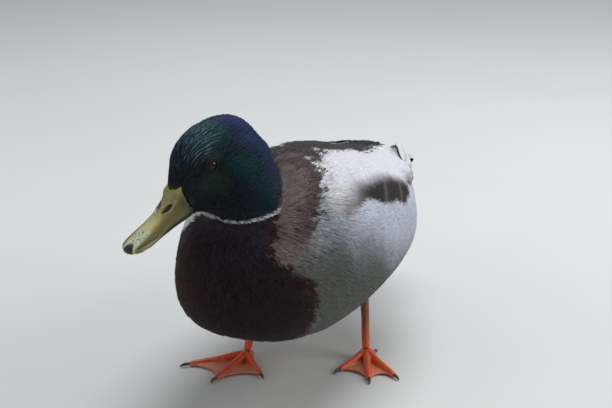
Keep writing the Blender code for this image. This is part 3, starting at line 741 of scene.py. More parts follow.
def scatter(area, spacing, seed, tries=5):
    # points about spacing(p) mm apart on the part of the skin where area(p) is true
    random = np.random.default_rng(seed)
    corner = skinPoints[triangles]
    cross = np.cross(corner[:, 1] - corner[:, 0], corner[:, 2] - corner[:, 0])
    size = np.linalg.norm(cross, axis=1) / 2
    inside = area(corner.mean(1))
    gap = spacing(corner.mean(1))
    weight = np.where(inside, size / gap ** 2, 0)
    count = int(weight.sum() * tries)
    faces = random.choice(len(triangles), count, p=weight / weight.sum())
    u, v = random.random((2, count))
    flip = u + v > 1
    u, v = np.where(flip, 1 - u, u), np.where(flip, 1 - v, v)
    points = corner[faces, 0] + (corner[faces, 1] - corner[faces, 0]) * u[:, None] \
        + (corner[faces, 2] - corner[faces, 0]) * v[:, None]
    gap = spacing(points)
    cell = gap.max()
    grid = {}
    kept = []
    keys = np.floor(points / cell).astype(int).tolist()
    places = points.tolist()
    gaps = (gap ** 2).tolist()
    around = [(i, j, k) for i in (-1, 0, 1) for j in (-1, 0, 1) for k in (-1, 0, 1)]
    for n in range(count):
        x, y, z = places[n]
        kx, ky, kz = keys[n]
        least = gaps[n]
        free = True
        for i, j, k in around:
            for a, b, c in grid.get((kx + i, ky + j, kz + k), ()):
                if (a - x) ** 2 + (b - y) ** 2 + (c - z) ** 2 < least:
                    free = False
                    break
            if not free:
                break
        if free:
            grid.setdefault((kx, ky, kz), []).append((x, y, z))
            kept.append(n)
    return points[kept], faces[kept]


def nearest(points):
    # for each point the closest place on the skin and the triangle it lies on
    found = np.empty_like(points)
    hit = np.empty(len(points), int)
    for n, point in enumerate(points.tolist()):
        co, _, index, _ = tree.find_nearest(point)
        found[n] = co
        hit[n] = index
    return found, hit


def follow(roots, faces, headings, steps, steer=0.25):
    # walks each feather's rows over the skin; returns the places, normals and headings of each row
    places, normals, ways = [roots], [faceNormals[faces]], [headings]
    place, heading = roots, headings
    for step in steps:
        place, hit = nearest(place + heading * step[:, None])
        normal = unit(0.5 * normals[-1] + 0.5 * faceNormals[hit])
        heading = unit((1 - steer) * heading + steer * faceLie[hit])
        heading = unit(heading - normal * (heading * normal).sum(1, keepdims=True))
        places.append(place)
        normals.append(normal)
        ways.append(heading)
    return np.stack(places, 1), np.stack(normals, 1), np.stack(ways, 1)


featherDefaults = {"strands": 1, "unequal": 0.14, "uneven": 0.15, "fan": 15, "sink": -0.25, "roll": 0.35,
                   "slotStray": 0.12, "slotSpread": 0.16, "strandWidth": 1.45, "bakePatch": 0.003}


def growFeathers(name, roots, faces, look, tint, seed):
    # every feather is a fan of look["strands"] closed blades; tint colours them by place and group
    random = np.random.default_rng(seed)
    look = dict(featherDefaults, **look)
    groups = len(roots)
    rows, columns, strands = look["rows"], look["columns"], look["strands"]
    unequal, uneven = look["unequal"], look["uneven"]
    length = look["length"] * random.uniform(1 - unequal, 1 + unequal, groups)
    width = look["width"] * random.uniform(0.9, 1.1, groups)
    lift = look["lift"] * random.uniform(1 - uneven, 1 + uneven, groups)
    if "heading" in look:
        heading = look["heading"]
    else:
        heading = faceLie[faces]
        turn = np.radians(random.normal(0, look["stray"], groups))
        sideways = np.cross(faceNormals[faces], heading)
        heading = unit(heading * np.cos(turn)[:, None] + sideways * np.sin(turn)[:, None])
    group = np.repeat(np.arange(groups), strands)
    if strands > 1:
        slot = np.tile(np.linspace(-1, 1, strands), groups)
        slot = slot + random.normal(0, look["slotStray"], len(slot))
        sideways = np.cross(heading, faceNormals[faces])[group]
        roots = roots[group] + sideways * (slot * width[group] * look["slotSpread"])[:, None]
        fan = np.radians(look["fan"]) * slot
        heading = unit(heading[group] * np.cos(fan)[:, None] + sideways * np.sin(fan)[:, None])
        length = length[group] * (1 - 0.13 * slot ** 2) * random.uniform(0.88, 1.08, len(slot))
        width = width[group] / strands * look["strandWidth"]
        lift = lift[group] * (1 - 0.10 * slot ** 2)
        lift = lift * random.uniform(1 - 0.4 * uneven, 1 + 0.4 * uneven, len(slot))
        faces = faces[group]
    count = len(roots)
    along = np.array([0.0] + list(look["along"]) + [1.0])
    wide = np.array(look["wide"])
    steps = np.diff(along)[None, :] * length[:, None]
    if "upward" in look:
        # a stiff vane keeps straight, with an upper side of its own
        places = roots[:, None, :] + heading[:, None, :] * (along[None, :, None] * length[:, None, None])
        normals = np.repeat(look["upward"][:, None, :], rows + 2, 1)
        places = places + normals * (look["arch"] * np.sin(math.pi * along))[None, :, None]
        ways = np.repeat(heading[:, None, :], rows + 2, 1)
    else:
        places, normals, ways = follow(roots, faces, heading, list(steps.T))
    sides = np.cross(ways, normals)
    rise = look["sink"] + lift[:, None] * along[None, :] ** 0.7
    cross = np.linspace(-1, 1, columns + 1)
    across = columns + 1
    size = 2 + rows * across
    points = np.empty((count, size, 3))
    bend = np.empty((count, size, 3))
    vane = np.zeros((count, size, 2))
    spread = np.zeros(size)
    reach = np.zeros(size)
    points[:, 0] = places[:, 0] + normals[:, 0] * rise[:, 0:1]
    points[:, -1] = places[:, -1] + normals[:, -1] * rise[:, -1:]
    bend[:, 0], bend[:, -1] = normals[:, 0], unit(normals[:, -1] + 0.25 * ways[:, -1])
    reach[-1] = 1
    vane[:, -1, 1] = length
    for row in range(rows):
        half = width / 2 * wide[row]
        for c in range(across):
            slot = 1 + row * across + c
            camber = look["camber"] * half * cross[c] ** 2
            points[:, slot] = places[:, row + 1] + sides[:, row + 1] * (half * cross[c])[:, None] \
                + normals[:, row + 1] * (rise[:, row + 1] - camber)[:, None]
            bend[:, slot] = unit(normals[:, row + 1] + sides[:, row + 1] * (look["roll"] * cross[c])
                                 + ways[:, row + 1] * 0.12 * along[row + 1])
            vane[:, slot, 0] = half * cross[c]
            vane[:, slot, 1] = along[row + 1] * length
            spread[slot] = cross[c]
            reach[slot] = along[row + 1]
    faceSet = featherFaces(rows, columns)[:, ::-1]
    allFaces = (faceSet[None] + (np.arange(count) * size)[:, None, None]).reshape(-1, 3)
    piece = meshFromTriangles(name, points.reshape(-1, 3), allFaces)
    piece.data.normals_split_custom_set_from_vertices(bend.reshape(-1, 3).tolist())
    colours = tint(places, group, spread, reach, random)
    paint(piece, np.clip(colours.reshape(-1, 3), 0, 1))
    # every blade bakes to a small patch of the skin's map, at its root
    patch = np.stack([spread / 2, reach - 0.5], 1) * look["bakePatch"]
    bakePatch = faceBake[faces][:, None, :] + patch[None]
    vane[:, :, 1] += random.uniform(0, 50, (count, 1))
    setMap(piece, "vane", vane.reshape(-1, 2))
    setMap(piece, "OFBake", bakePatch.reshape(-1, 2))
    print(" ", name, groups, "feathers,", len(allFaces), "triangles")
    return piece


def plainTint(edge=0.0, edgeTone=(1, 1, 1), jitter=0.06, strandJitter=0.12, ragged=1.5, rootShade=0.25,
              glint=0.0, flowing=False):
    # each feather takes the marking under its outer part, or, when flowing, the markings all along it
    def tint(places, group, spread, reach, random):
        groups = group.max() + 1
        stations = places.shape[1]
        across = (len(spread) - 2) // (stations - 2)
        stationOf = np.concatenate([[0], np.repeat(np.arange(1, stations - 1), across), [stations - 1]])
        wobble = random.normal(0, ragged, groups)[group]
        if flowing:
            base = markings(places.reshape(-1, 3), np.repeat(wobble, stations))
            base = base.reshape(places.shape)[:, stationOf]
        else:
            base = markings(places[:, int(round((stations - 1) * 0.75))], wobble)[:, None, :]
        varied = 1 + random.normal(0, jitter, groups)[group] + random.normal(0, strandJitter, len(group))
        base = base * varied[:, None, None]
        edged = (edge * (random.random(len(group)) < 0.6))[:, None] * ease(0.8, 1.0, reach)[None, :]
        colour = base * (1 - edged[:, :, None]) + np.array(edgeTone) * edged[:, :, None]
        # each feather is painted darker toward its root, as painted shade where the feathers above cover it
        shade = 1 - rootShade * ease(0.5, 0.0, reach)
        colour = np.maximum(colour, 0.003) * shade[None, :, None]
        if glint:
            # painted highlights: fine pale glints along the shafts, in rows on the forehead which spread from
            # the bill's root over the crown
            local = toHead(places.reshape(-1, 3))
            away = (((np.abs(local[:, 0]) - 7) / 13) ** 2 + ((local[:, 1] + 1) / 19) ** 2
                    + ((local[:, 2] - 15) / 13) ** 2)
            spreadSide = local[:, 0] / (1 + (19 - local[:, 1]) / 45)
            line = np.cos(2 * math.pi * (spreadSide / 0.9 + 0.16 * np.sin(local[:, 1] / 2.2 + local[:, 0])))
            bright = (ease(-0.1, 0.9, line) / (1 + away ** 3)).reshape(places.shape[:2])[:, stationOf]
            bright = bright * (glint * random.choice((0.25, 0.6, 1.0), len(group)))[:, None]
            onShaft = (np.abs(spread) < 0.1) * ease(0.05, 0.3, reach)
            colour = colour + (bright * onShaft[None, :])[:, :, None] * np.array((0.22, 0.28, 0.31))
        return colour
    return tint


leaf = {"along": (0.30, 0.62, 0.86), "wide": (0.75, 1.0, 0.72), "rows": 3, "columns": 2}
longLeaf = {"along": (0.22, 0.48, 0.72, 0.90), "wide": (0.7, 1.0, 0.92, 0.6), "rows": 4, "columns": 2}


def isHead(p):
    return aboveCollar(p) > 0.5


def headSpacing(p):
    return np.interp(-toHead(p)[:, 1], [-26, -12, 5, 35], [0.62, 0.78, 0.95, 1.25])


def eyeFree(p, gap):
    clear = np.ones(len(p), bool)
    for s in ("left", "right"):
        clear &= np.linalg.norm(p - eyeBall[s] - 3.0 * eyeOutward[s], axis=1) > gap
    return clear


def isForehead(p):
    local = toHead(p)
    return (local[:, 2] > 7 - 0.28 * local[:, 1]) & (local[:, 1] > -24) & (local[:, 1] < 19)


def isRing(p):
    return (aboveCollar(p) <= 0.5) & (aboveCollar(p) > -3.6)


def isChest(p):
    return (turnAngle(p) < chestEdge(p) - 1) & ~isHead(p) & ~isRing(p)


def isBand(p):
    turn = turnAngle(p)
    return ~isHead(p) & ~isRing(p) & (turn >= chestEdge(p) - 1) \
        & (turn < np.interp(p[:, 2], *bandEdge) + 2) & (p[:, 2] > 122)


def isTail(p):
    return (p[:, 1] > 118) & ~isBlade(p)


def isRump(p):
    side = sideOf(p)
    return ~isTail(p) & ~isBlade(p) & (((p[:, 1] > 84) & (side < np.interp(p[:, 1], *rumpReach)))
                                       | ((p[:, 1] > 92) & (p[:, 2] < 104)))


def isThigh(p):
    side = sideOf(p)
    return (p[:, 2] < 64) & (p[:, 1] > -64) & (p[:, 1] < 32) & (side > 9) & (side < 62)


def isWing(p):
    return (p[:, 2] > np.interp(p[:, 1], *wingFoot) - 1) & (p[:, 1] > -112)


def isMantle(p):
    side = sideOf(p)
    return isWing(p) & (side < np.interp(p[:, 1], *mantleReach) + 3) & (p[:, 2] > 126)


def rest(p):
    return ~(isHead(p) | isRing(p) | isChest(p) | isBand(p) | isTail(p) | isRump(p) | isThigh(p) | isBlade(p))


def leftSide(p):
    return p[:, 0] > axisX


coatDefaults = {"shape": leaf, "camber": 0.2, "look": "bodyPlumage", "slot": "plumage_body"}
headCoat = {"camber": 0.5, "roll": 0.7, "look": "headPlumage", "slot": "plumage_head"}
zones = {
    "foreheadCoat": dict(
        headCoat, area=lambda p: isHead(p) & isForehead(p), spacing=0.92, length=7.5, width=1.15,
        lift=lambda p: 0.5 * coatDepth(p) + 0.35, stray=3,
        tint=plainTint(jitter=0.14, rootShade=0.3, glint=1.0, ragged=0.5)),
    "faceCoat": dict(
        headCoat, area=lambda p: isHead(p) & ~isForehead(p) & (toHead(p)[:, 1] > -2) & eyeFree(p, 4.35),
        spacing=headSpacing, length=lambda p: 4.8 * headSpacing(p), width=lambda p: 1.35 * headSpacing(p),
        lift=lambda p: 0.45 * coatDepth(p) + 0.2, stray=7,
        tint=plainTint(jitter=0.16, rootShade=0.5, ragged=0.6)),
    "napeCoat": dict(
        headCoat, area=lambda p: isHead(p) & ~isForehead(p) & (toHead(p)[:, 1] <= -2) & eyeFree(p, 4.35),
        spacing=headSpacing, length=lambda p: 5.4 * headSpacing(p), width=lambda p: 1.4 * headSpacing(p),
        lift=lambda p: 0.6 * coatDepth(p) + 0.2, stray=7,
        tint=plainTint(jitter=0.12, rootShade=0.45, ragged=0.6)),
    "ringCoat": {
        "area": isRing, "spacing": 0.95, "length": 3.2, "width": 1.5, "lift": 1.9, "camber": 0.3, "stray": 9,
        "slot": "plumage_head", "tint": plainTint(jitter=0.06, ragged=0.4, rootShade=0.1)},
    "breastCoat": {
        "area": isChest, "spacing": 2.35, "length": 11, "width": 6.0, "strands": 4, "lift": 2.5,
        "camber": 0.25, "roll": 0.3, "stray": 6, "look": "breastPlumage",
        "tint": plainTint(jitter=0.07, strandJitter=0.12)},
    "bandCoat": {
        "area": isBand, "spacing": 2.5, "length": 13, "width": 6.6, "strands": 5, "lift": 2.7,
        "camber": 0.25, "stray": 8,
        "tint": plainTint(edge=0.35, edgeTone=(0.34, 0.29, 0.28), jitter=0.10, strandJitter=0.14)},
    "mantleCoat": {
        "area": lambda p: rest(p) & isMantle(p), "spacing": 3.2, "length": 18, "width": 9, "strands": 6,
        "lift": 2.8, "stray": 7,
        "tint": plainTint(edge=0.3, edgeTone=(0.20, 0.17, 0.17), jitter=0.14, strandJitter=0.12)},
    "bellyCoat": {
        "area": lambda p: rest(p) & ~isWing(p) & (p[:, 2] < 68), "spacing": 3.3, "length": 15,
        "width": 7.5, "strands": 5, "lift": 2.6, "stray": 8,
        "tint": plainTint(jitter=0.06, strandJitter=0.10)},
    "rumpCoat": {
        "area": lambda p: isRump(p) & ~isHead(p), "spacing": 2.9, "length": 15, "width": 7.5,
        "strands": 4, "lift": 2.0, "stray": 6, "look": "glossyPlumage", "tint": plainTint(jitter=0.15)},
    "thighCoat": {
        "area": isThigh, "spacing": 2.4, "length": 8.5, "width": 2.6, "strands": 2, "lift": 1.4,
        "stray": 9, "tint": plainTint(jitter=0.10)},
    "tailCoverts": {
        "area": lambda p: isTail(p) & (p[:, 1] < 160), "spacing": 2.7, "length": 17, "width": 6.5,
        "strands": 3, "lift": 1.6, "shape": longLeaf, "camber": 0.15, "stray": 4,
        "look": "glossyPlumage", "tint": plainTint(jitter=0.12)},
}
for sideName, onSide in (("Left", leftSide), ("Right", lambda p: ~leftSide(p))):
    zones["flankCoat" + sideName] = {
        "area": lambda p, s=onSide: rest(p) & ~isWing(p) & (p[:, 2] >= 68) & s(p), "spacing": 2.6,
        "length": 18, "width": 8, "strands": 6, "lift": 2.9, "stray": 6, "uneven": 0.10,
        "tint": plainTint(jitter=0.04, strandJitter=0.08, ragged=0.8, rootShade=0.16, flowing=True)}
    zones["scapularCoat" + sideName] = {
        "area": lambda p, s=onSide: rest(p) & isWing(p) & ~isMantle(p) & s(p), "spacing": 3.1,
        "length": 27, "width": 11, "strands": 6, "fan": 9, "lift": 3.0, "shape": longLeaf, "camber": 0.15,
        "stray": 3, "uneven": 0.05, "look": "wingPlumage", "slot": "plumage_wing",
        "tint": plainTint(jitter=0.015, strandJitter=0.03, ragged=0.6, rootShade=0.05, flowing=True)}


def atEach(value, p):
    return value(p) if callable(value) else np.full(len(p), float(value))


for seed, (name, zone) in enumerate(zones.items()):
    zone = dict(coatDefaults, **zone)
    roots, faces = scatter(zone["area"], lambda p: atEach(zone["spacing"], p), 100 + seed)
    feather = dict(zone["shape"], **zone)
    for size in ("length", "width", "lift"):
        feather[size] = atEach(zone[size], roots)
    piece = growFeathers(name, roots, faces, feather, zone["tint"], 300 + seed)
    piece.data.materials.append(looks[zone["look"]])
    hand(piece, "root", zone["slot"])


# long feathers of wing and tail

vaneShape = {"along": (0.06, 0.16, 0.30, 0.46, 0.62, 0.76, 0.87, 0.95),
             "wide": (0.45, 0.72, 0.92, 1.0, 1.0, 0.95, 0.80, 0.52), "rows": 8, "columns": 6,
             "camber": 0.12, "roll": 0.15, "unequal": 0.02, "sink": 0.0}


def vaneTint(tones):
    # tones: for every feather its middle's tone, its rim's tone and the rim's width
    def tint(places, group, spread, reach, random):
        core, rim, rimWidth = (np.array(t, float) for t in zip(*tones))
        shade = 1 + random.normal(0, 0.05, len(group))
        rimmed = ease(1 - rimWidth[:, None], 1.05, np.abs(spread)[None, :]) \
            + ease(1.0 - 0.35 * rimWidth[:, None], 1.02, reach[None, :])
        rimmed = np.clip(rimmed, 0, 1)[:, :, None]
        colour = core[:, None, :] * (1 - rimmed) + rim[:, None, :] * rimmed
        shaft = (1 - 0.35 * ease(0.12, 0.0, np.abs(spread)))[None, :, None]
        return colour * shade[:, None, None] * shaft
    return tint


def layFeathers(name, feathers, upward, arch, slotName, seed):
    # feathers: place, heading, length, width, lift and what vaneTint takes; upward is their upper side
    places, heading, length, width, lift = (np.array([f[i] for f in feathers], float) for i in range(5))
    heading = unit(heading)
    upward = np.array(upward, float)
    upward = unit(upward - heading * (upward * heading).sum(1, keepdims=True))
    shape = dict(vaneShape, length=length, width=width, lift=lift, heading=heading, upward=upward, arch=arch)
    faces = nearest(places)[1]
    piece = growFeathers(name, places, faces, shape, vaneTint([f[5:] for f in feathers]), seed)
    piece.data.materials.append(looks["wingPlumage"])
    hand(piece, "root", slotName)


# how far out the folded primaries lie
primaryLine = ([49, 67, 91, 121, 149, 171], [43, 47, 42, 31, 21, 14])
foldedLevel, foldedLift, foldedRim = 126.0, 0.3, 0.16
foldedWing = {
    "primaries": {"count": 5, "rootY": 112, "tipY": 170, "step": 7, "width": 13, "rise": 1.0, "tipRise": 1.0,
                  "stack": 0.22, "arch": 1.4, "shift": -3.4, "tone": (0.060, 0.048, 0.042),
                  "rim": (0.20, 0.175, 0.16), "seed": 504},
    "tertials": {"count": 4, "rootY": 92, "tipY": 156, "step": 7, "width": 17, "rise": 3.0, "tipRise": 3.3,
                 "stack": 0.45, "arch": 2.0, "shift": -1.2, "tone": (0.80, 0.80, 0.83),
                 "rim": (0.55, 0.54, 0.55), "seed": 500}}
for sideName, sign in (("Left", 1), ("Right", -1)):
    outward = np.array([sign * 0.75, 0, 0.65])
    across = np.array([-sign * 0.65, 0, 0.75])
    for name, vanes in foldedWing.items():
        folded = []
        for n in range(vanes["count"]):  # the longest lowest, each next one shorter and on top
            ends = []
            for y, rise, share in ((vanes["rootY"], vanes["rise"], 1.0),
                                   (vanes["tipY"] - vanes["step"] * n, vanes["tipRise"], 0.4)):
                middle = np.array([axisX + sign * np.interp(y, *primaryLine), y, foldedLevel])
                ends.append(middle + outward * (rise + vanes["stack"] * n)
                            + across * (1.3 * n + vanes["shift"]) * share)
            way = ends[1] - ends[0]
            folded.append((ends[0], way, np.linalg.norm(way), vanes["width"] - 0.6 * n,
                           foldedLift, vanes["tone"], vanes["rim"], foldedRim))
        seed = vanes["seed"] + (sign > 0)
        layFeathers(name + sideName, folded, outward, vanes["arch"], "plumage_wing", seed)

tailSizes = {"pairs": 9, "rootY": 144, "fan": 4.5, "innermost": 1.5, "spread": 13, "shorter": 12, "width": 11,
             "lift": 0.2, "rim": (0.72, 0.70, 0.67), "rimWidth": 0.45}
tailLayers = {
    "tailFeathersTop": {"rootZ": 116.4, "stack": 0.18, "slope": -0.115, "length": 71, "upward": (0, 0, 1),
                        "inner": (0.36, 0.33, 0.30), "outer": (0.58, 0.56, 0.53), "seed": 510},
    "tailFeathersUnder": {"rootZ": 104.9, "stack": -0.12, "slope": 0.04, "length": 69, "upward": (0, 0, -1),
                          "inner": (0.50, 0.49, 0.47), "outer": (0.50, 0.49, 0.47), "seed": 511}}
for name, layer in tailLayers.items():
    vanes = []
    for n in range(tailSizes["pairs"]):
        for sign in (1, -1):
            share = 1 - n / (tailSizes["pairs"] - 1)  # the outermost first, the middle pair last and on top
            turn = math.radians(tailSizes["fan"]) * share * sign
            place = axisX + sign * (tailSizes["innermost"] + tailSizes["spread"] * share)
            vanes.append(((place, tailSizes["rootY"], layer["rootZ"] + layer["stack"] * n),
                          (math.sin(turn), math.cos(turn), layer["slope"]),
                          layer["length"] - tailSizes["shorter"] * share, tailSizes["width"],
                          tailSizes["lift"], layer["inner"] if share < 0.6 else layer["outer"],
                          tailSizes["rim"], tailSizes["rimWidth"]))
    layFeathers(name, vanes, layer["upward"], 0.0, "plumage_body", layer["seed"])
print("long feathers laid")

skinLook = Shader("plumageGround", Roughness=0.8)
skinGrain, skinMixed = skinLook.paintedGrain(900, 3, [(0.3, (0.7,) * 3), (0.7, (1, 1, 1))])
skinLook.colourFrom(skinMixed, 2)
skinLook.bump(skinGrain, "Fac", 0.3)
skin.data.materials.append(skinLook.material)
hand(skin, "root", "plumage_body", *fleshNodes)

# bill

billSizes = {"voxel": 0.55, "grow": 0.15, "steps": 8, "nostrilAhead": 37.2, "nostrilSide": 3.9,
             "nostrilLong": 5.3, "nostrilTall": 1.85, "nostrilTurn": -20, "nostrilDepth": 1.8,
             "nostrilRim": 0.5, "hornSide": 5.0, "hornRise": 2.6}
bill = copyNodes("bill", ["bill_upper", "bill_nail"], billSizes["grow"])
remesh(bill, billSizes["voxel"], billSizes["steps"])
billPoints = pointsOf(bill)
billNormals = normalsOf(bill)
local = toHead(billPoints)
side, ahead, up = np.abs(local[:, 0]), local[:, 1], local[:, 2]
# the nostril is a slit in a shallow dish with a raised rim
slitTurn = math.radians(billSizes["nostrilTurn"])
fromSlit = (ahead - billSizes["nostrilAhead"], side - billSizes["nostrilSide"])
slitAlong = (fromSlit[0] * math.cos(slitTurn) + fromSlit[1] * math.sin(slitTurn)) / billSizes["nostrilLong"]
slitAcross = (fromSlit[1] * math.cos(slitTurn) - fromSlit[0] * math.sin(slitTurn)) / billSizes["nostrilTall"]
onTop = ease(-22, -19, up)
# its ends come to a point
radius = np.sqrt(slitAlong ** 2 + (slitAcross / np.clip(1 - 0.5 * slitAlong ** 2, 0.45, 1)) ** 2)
dent = -billSizes["nostrilDepth"] * ease(1.05, 0.6, radius) * onTop
dent = dent + billSizes["nostrilRim"] * np.exp(-((radius - 1.35) / 0.3) ** 2) * onTop
# two horns of the bill reach up beside the point of the forehead's feathers
hornWidth = np.interp(ahead, [17, 21, 30], [0.5, 1.2, 2.0])
horn = np.exp(-((side - billSizes["hornSide"]) / hornWidth) ** 2)
horn = horn * ease(16, 20, ahead) * ease(32, 26, ahead) * ease(-15, -10, up)
dent = dent + billSizes["hornRise"] * horn
movePoints(bill, billPoints + billNormals * dent[:, None])


def billMarkings(points):
    local = toHead(points)
    side, ahead, up = np.abs(local[:, 0]), local[:, 1], local[:, 2]
    # a painted highlight along the top of the bill, lit from above; darker and more olive down the sides and
    # at the root
    ridgeHighlight = ease(7.5, 1.0, side - 0.03 * ahead + 0.10 * local[:, 0])
    colour = mix((0.185, 0.150, 0.026), (0.72, 0.66, 0.27), ridgeHighlight * (0.30 + 0.60 * ease(34, 50, ahead)))
    colour = mix(colour, (0.052, 0.056, 0.016), ease(38, 24, ahead) * ease(5.5, 9, side) * 0.85)
    horns = ease(31, 25, ahead) * ease(-14, -9, up) * ease(8, 6.5, side)
    colour = mix(colour, (0.44, 0.37, 0.09), horns * 0.9)
    colour = mix(colour, (0.100, 0.082, 0.016), ease(6.5, 10.5, side) * ease(26, 40, ahead) * 0.8)
    patch = ease(55, 58.5, ahead + 0.35 * side) * ease(6.6, 5.0, side)
    colour = mix(colour, (0.66, 0.72, 0.50), patch * 0.95)
    # the mouth's line curves up before the tip, with a paler lip under it
    mouth = np.interp(ahead, [44, 52, 58, 64, 68, 72], [-22.9, -22.2, -21.9, -21.7, -22.0, -22.6])
    near = ease(44, 52, ahead) * ease(73, 69, ahead) * ease(7.5, 9, side + 0.5 * ease(62, 70, ahead) * side)
    colour = mix(colour, (0.34, 0.31, 0.15), near * ease(0.2, -0.4, up - mouth) * 0.9)
    colour = mix(colour, (0.024, 0.020, 0.010), near * np.exp(-((up - mouth) / 0.35) ** 2) * 0.85)
    return colour


local = toHead(pointsOf(bill))
billColours = billMarkings(pointsOf(bill))
# the slit is painted near black, as painted shade inside the nostril
slitShade = ease(1.02, 0.8, radius) * onTop
# a painted highlight on the nostril's raised rim
rimHighlight = np.exp(-((radius - 1.38) / 0.26) ** 2) * onTop
billColours = mix(billColours, (0.012, 0.011, 0.008), slitShade)
billColours = mix(billColours, (0.40, 0.41, 0.24), 0.75 * rimHighlight)
nailPart = ease(67.6, 68.8, local[:, 1] - 0.24 * local[:, 0] ** 2)
billColours = mix(billColours, (0.010, 0.010, 0.012), nailPart)
# a painted reflection: the nail's root is painted a pale blue-grey for the sky's highlight on it
nailReflection = ease(70.6, 68.8, local[:, 1]) * ease(2.6, 1.2, np.abs(local[:, 0]))
billColours = mix(billColours, (0.26, 0.30, 0.42), 0.8 * nailReflection * nailPart)
paint(bill, billColours)
lowerSizes = {"grow": 0.1, "steps": 6}
lower = copyNodes("billLower", ["bill_lower"], lowerSizes["grow"])
remesh(lower, billSizes["voxel"], lowerSizes["steps"])
# the lower mandible is painted darker toward its lower edge, as painted shade under the bill
lowerEdgeShade = ease(-25.6, -24.4, toHead(pointsOf(lower))[:, 2])
paint(lower, mix((0.11, 0.095, 0.035), (0.02, 0.018, 0.012), lowerEdgeShade))

billLook = Shader("billHorn", Roughness=0.34, Coat_Weight=0.35, Coat_Roughness=0.22)
billStops = [(0.3, (0.78, 0.78, 0.74)), (0.7, (1, 1, 1))]
billGrain, billMixed = billLook.paintedGrain(420, 4, billStops, (1, 0.45, 1))
specks = billLook.noise(billLook.coordinates(), 700, 2)
speckMask = billLook.ramp(specks, "Fac", [(0.54, (0, 0, 0)), (0.60, (1, 1, 1))])
tipMask = billLook.attribute("speckled")
speckAmount = billLook.mix("MULTIPLY", 1.0, (speckMask, "Color"), (tipMask, "Color"))
billLook.colourFrom(billLook.mix("MIX", (speckAmount, 2), (billMixed, 2), (0.035, 0.04, 0.03)), 2)
billLook.bump(billGrain, "Fac", 0.12, 0.4)
for piece in (bill, lower):
    where = toHead(pointsOf(piece))
    speck = ease(54, 59, where[:, 1]) * ease(67.5, 66, where[:, 1]) * ease(6.6, 5.0, np.abs(where[:, 0]))
    paint(piece, np.repeat(speck[:, None], 3, 1), "speckled")
    finishPiece(piece, billLook.material)
hand(bill, "root", "bill_horn", "bill_upper", "bill_nail")
hand(lower, "root", "bill_horn", "bill_lower")
print("bill done")

# eyes

eyeLook = Shader("eyeGlass", Roughness=0.10, IOR=1.38)
eyeLook.colourFrom(eyeLook.attribute("markings"), "Color")
lidLook = Shader("lidSkin", Roughness=0.75, Specular_IOR_Level=0.15)
lidGrain = lidLook.plainGrain(1500, 3, [(0.3, (0.006, 0.008, 0.008)), (0.7, (0.017, 0.019, 0.018))])
lidLook.bump(lidGrain, "Fac", 0.15)
# the lid's section: distance from the eye's axis and height over the eyeball's middle
lidSection = ((3.55, 3.15), (3.70, 3.62), (3.92, 3.84), (4.2, 3.80), (4.6, 3.62), (5.1, 3.45), (5.8, 3.1))
lidSizes = {"turns": 56, "flatter": 0.07, "letIn": 0.35, "above": 0.2, "thickness": 0.3}
turns = lidSizes["turns"]
for sideName in ("left", "right"):
    outward = eyeOutward[sideName]
    facing = Vector(outward).to_track_quat("Z", "Y")
    bpy.ops.object.select_all(action="DESELECT")
    bpy.ops.mesh.primitive_uv_sphere_add(segments=40, ring_count=30, radius=eyeSizes["radius"] * mm,
                                         location=eyeBall[sideName] * mm, rotation=facing.to_euler())
    eye = bpy.context.object
    eye.name = "eyeball" + sideName.capitalize()
    bpy.ops.object.transform_apply(location=True, rotation=True, scale=True)
    bpy.ops.object.shade_smooth()
    towards = unit(pointsOf(eye) - eyeBall[sideName])
    ring = np.degrees(np.arccos(np.clip(towards @ outward, -1, 1)))
    # a black pupil, a dark brown iris and a darker outer ring
    tone = mix((0.003, 0.003, 0.003), (0.010, 0.005, 0.004), ease(20, 24, ring))
    paint(eye, mix(tone, (0.006, 0.004, 0.004), ease(38, 46, ring)))
    eye.data.materials.append(eyeLook.material)
    hand(eye, "root", "eye_glass", "eye_" + sideName)
    # the lid is the section turned round the eye's axis, its outer edge let into the skin
    axes = np.array(facing.to_matrix())
    lidPoints = []
    for reach, height in lidSection:
        for t in range(turns):
            angle = 2 * math.pi * t / turns
            oval = 1.0 - lidSizes["flatter"] * abs(math.sin(angle))
            flat = axes @ np.array([math.cos(angle) * reach, math.sin(angle) * reach * oval, height])
            lidPoints.append(eyeBall[sideName] + flat)
    lidPoints = np.array(lidPoints)
    under = lidPoints[-turns:]
    onSkin, hit = nearest(under)
    lidPoints[-turns:] = onSkin - faceNormals[hit] * lidSizes["letIn"]
    blend = lidPoints[-2 * turns:-turns]
    onSkin, hit = nearest(blend)
    lidPoints[-2 * turns:-turns] = 0.5 * blend + 0.5 * (onSkin + faceNormals[hit] * lidSizes["above"])
    lidFaces = []
    for ring in range(len(lidSection) - 1):
        for t in range(turns):
            a, b = ring * turns + t, ring * turns + (t + 1) % turns
            lidFaces += [(a, b + turns, a + turns), (a, b, b + turns)]
    lid = meshFromTriangles("lid" + sideName.capitalize(), lidPoints, np.array(lidFaces))
    lid.data.materials.append(lidLook.material)
    thicken = lid.modifiers.new("thicken", "SOLIDIFY")
    thicken.thickness = lidSizes["thickness"] * mm
    thicken.offset = -1
    applyAll(lid)
    hand(lid, "root", "plumage_head")
print("eyes done")

# legs and feet

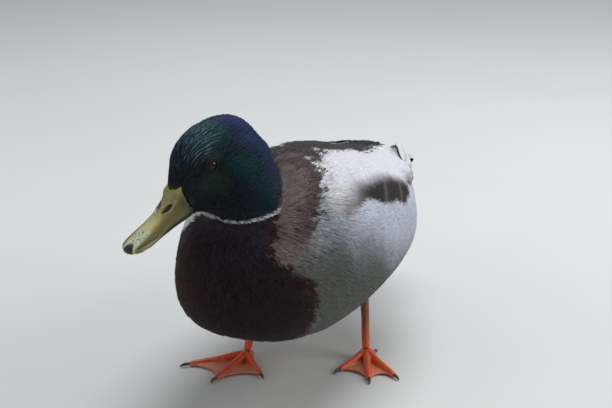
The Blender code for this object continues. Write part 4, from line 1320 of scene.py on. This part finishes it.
legLook = Shader("legSkin", Roughness=0.42, Subsurface_Weight=0.08, Coat_Weight=0.15, Coat_Roughness=0.3)
legLook.set("Subsurface_Radius", (0.004, 0.0015, 0.0008))
legCells = legLook.node("ShaderNodeTexVoronoi", Scale=620)
legLook.join(legLook.coordinates(), "Vector", legCells, "Vector")
legLines = legLook.ramp(legCells, "Distance", [(0.0, (1, 1, 1)), (0.75, (0.74, 0.70, 0.68))])
legBlotched = legLook.paintedGrain(90, 3, [(0.35, (0.82, 0.80, 0.80)), (0.65, (1, 1, 1))])[1]
legLook.colourFrom(legLook.mix("MULTIPLY", 1.0, (legBlotched, 2), (legLines, "Color")), 2)
legInvert = legLook.ramp(legCells, "Distance", [(0.0, (1, 1, 1)), (0.8, (0, 0, 0))])
legLook.bump(legInvert, "Color", 0.3, 0.6)
clawLook = Shader("clawHorn", Roughness=0.4)
clawLook.plainGrain(300, 3, [(0.3, (0.05, 0.03, 0.02)), (0.7, (0.14, 0.08, 0.05))])
legSizes = {"voxels": {"shank": 0.7, "foot": 0.55}, "grow": 0.1, "steps": 4}
clawSizes = {"voxel": 0.3, "grow": 0.05, "steps": 3}
legTones = {"web": (0.88, 0.30, 0.16), "toe": (0.95, 0.140, 0.030), "shank": (0.26, 0.085, 0.030)}
for sideName in ("left", "right"):
    for part, voxel in legSizes["voxels"].items():
        leg = copyNodes(part + sideName.capitalize(), [part + "_" + sideName], legSizes["grow"])
        remesh(leg, voxel, legSizes["steps"])
        height = pointsOf(leg)[:, 2]
        if part == "shank":
            # the shank is painted darker toward its top, as painted shade under the body
            paint(leg, mix(legTones["toe"], legTones["shank"], ease(10, 36, height)))
        else:
            paint(leg, mix(legTones["web"], legTones["toe"], ease(2.6, 3.6, height)))
        finishPiece(leg, legLook.material)
        hand(leg, "root", "leg_skin", part + "_" + sideName)
    for toe in ("inner", "middle", "outer", "hind"):
        which = toe + "_" + sideName
        claw = copyNodes("clawTip_" + which, ["claw_" + which], clawSizes["grow"])
        remesh(claw, clawSizes["voxel"], clawSizes["steps"])
        finishPiece(claw, clawLook.material)
        hand(claw, "root", "claw_horn", "claw_" + which)
print("legs done")

# curled tail coverts

curlSizes = {"voxel": 0.6, "grow": 0.0, "steps": 2}
for sideName in ("left", "right"):
    curl = copyNodes("curl" + sideName.capitalize(), ["tail_curl_" + sideName], curlSizes["grow"])
    remesh(curl, curlSizes["voxel"], curlSizes["steps"])
    paint(curl, np.tile(bodyTones["rump"], (len(curl.data.vertices), 1)))
    setMap(curl, "vane", pointsOf(curl)[:, 1:3])
    finishPiece(curl, looks["curlPlumage"])
    hand(curl, "root", "plumage_body", "tail_curl_" + sideName)
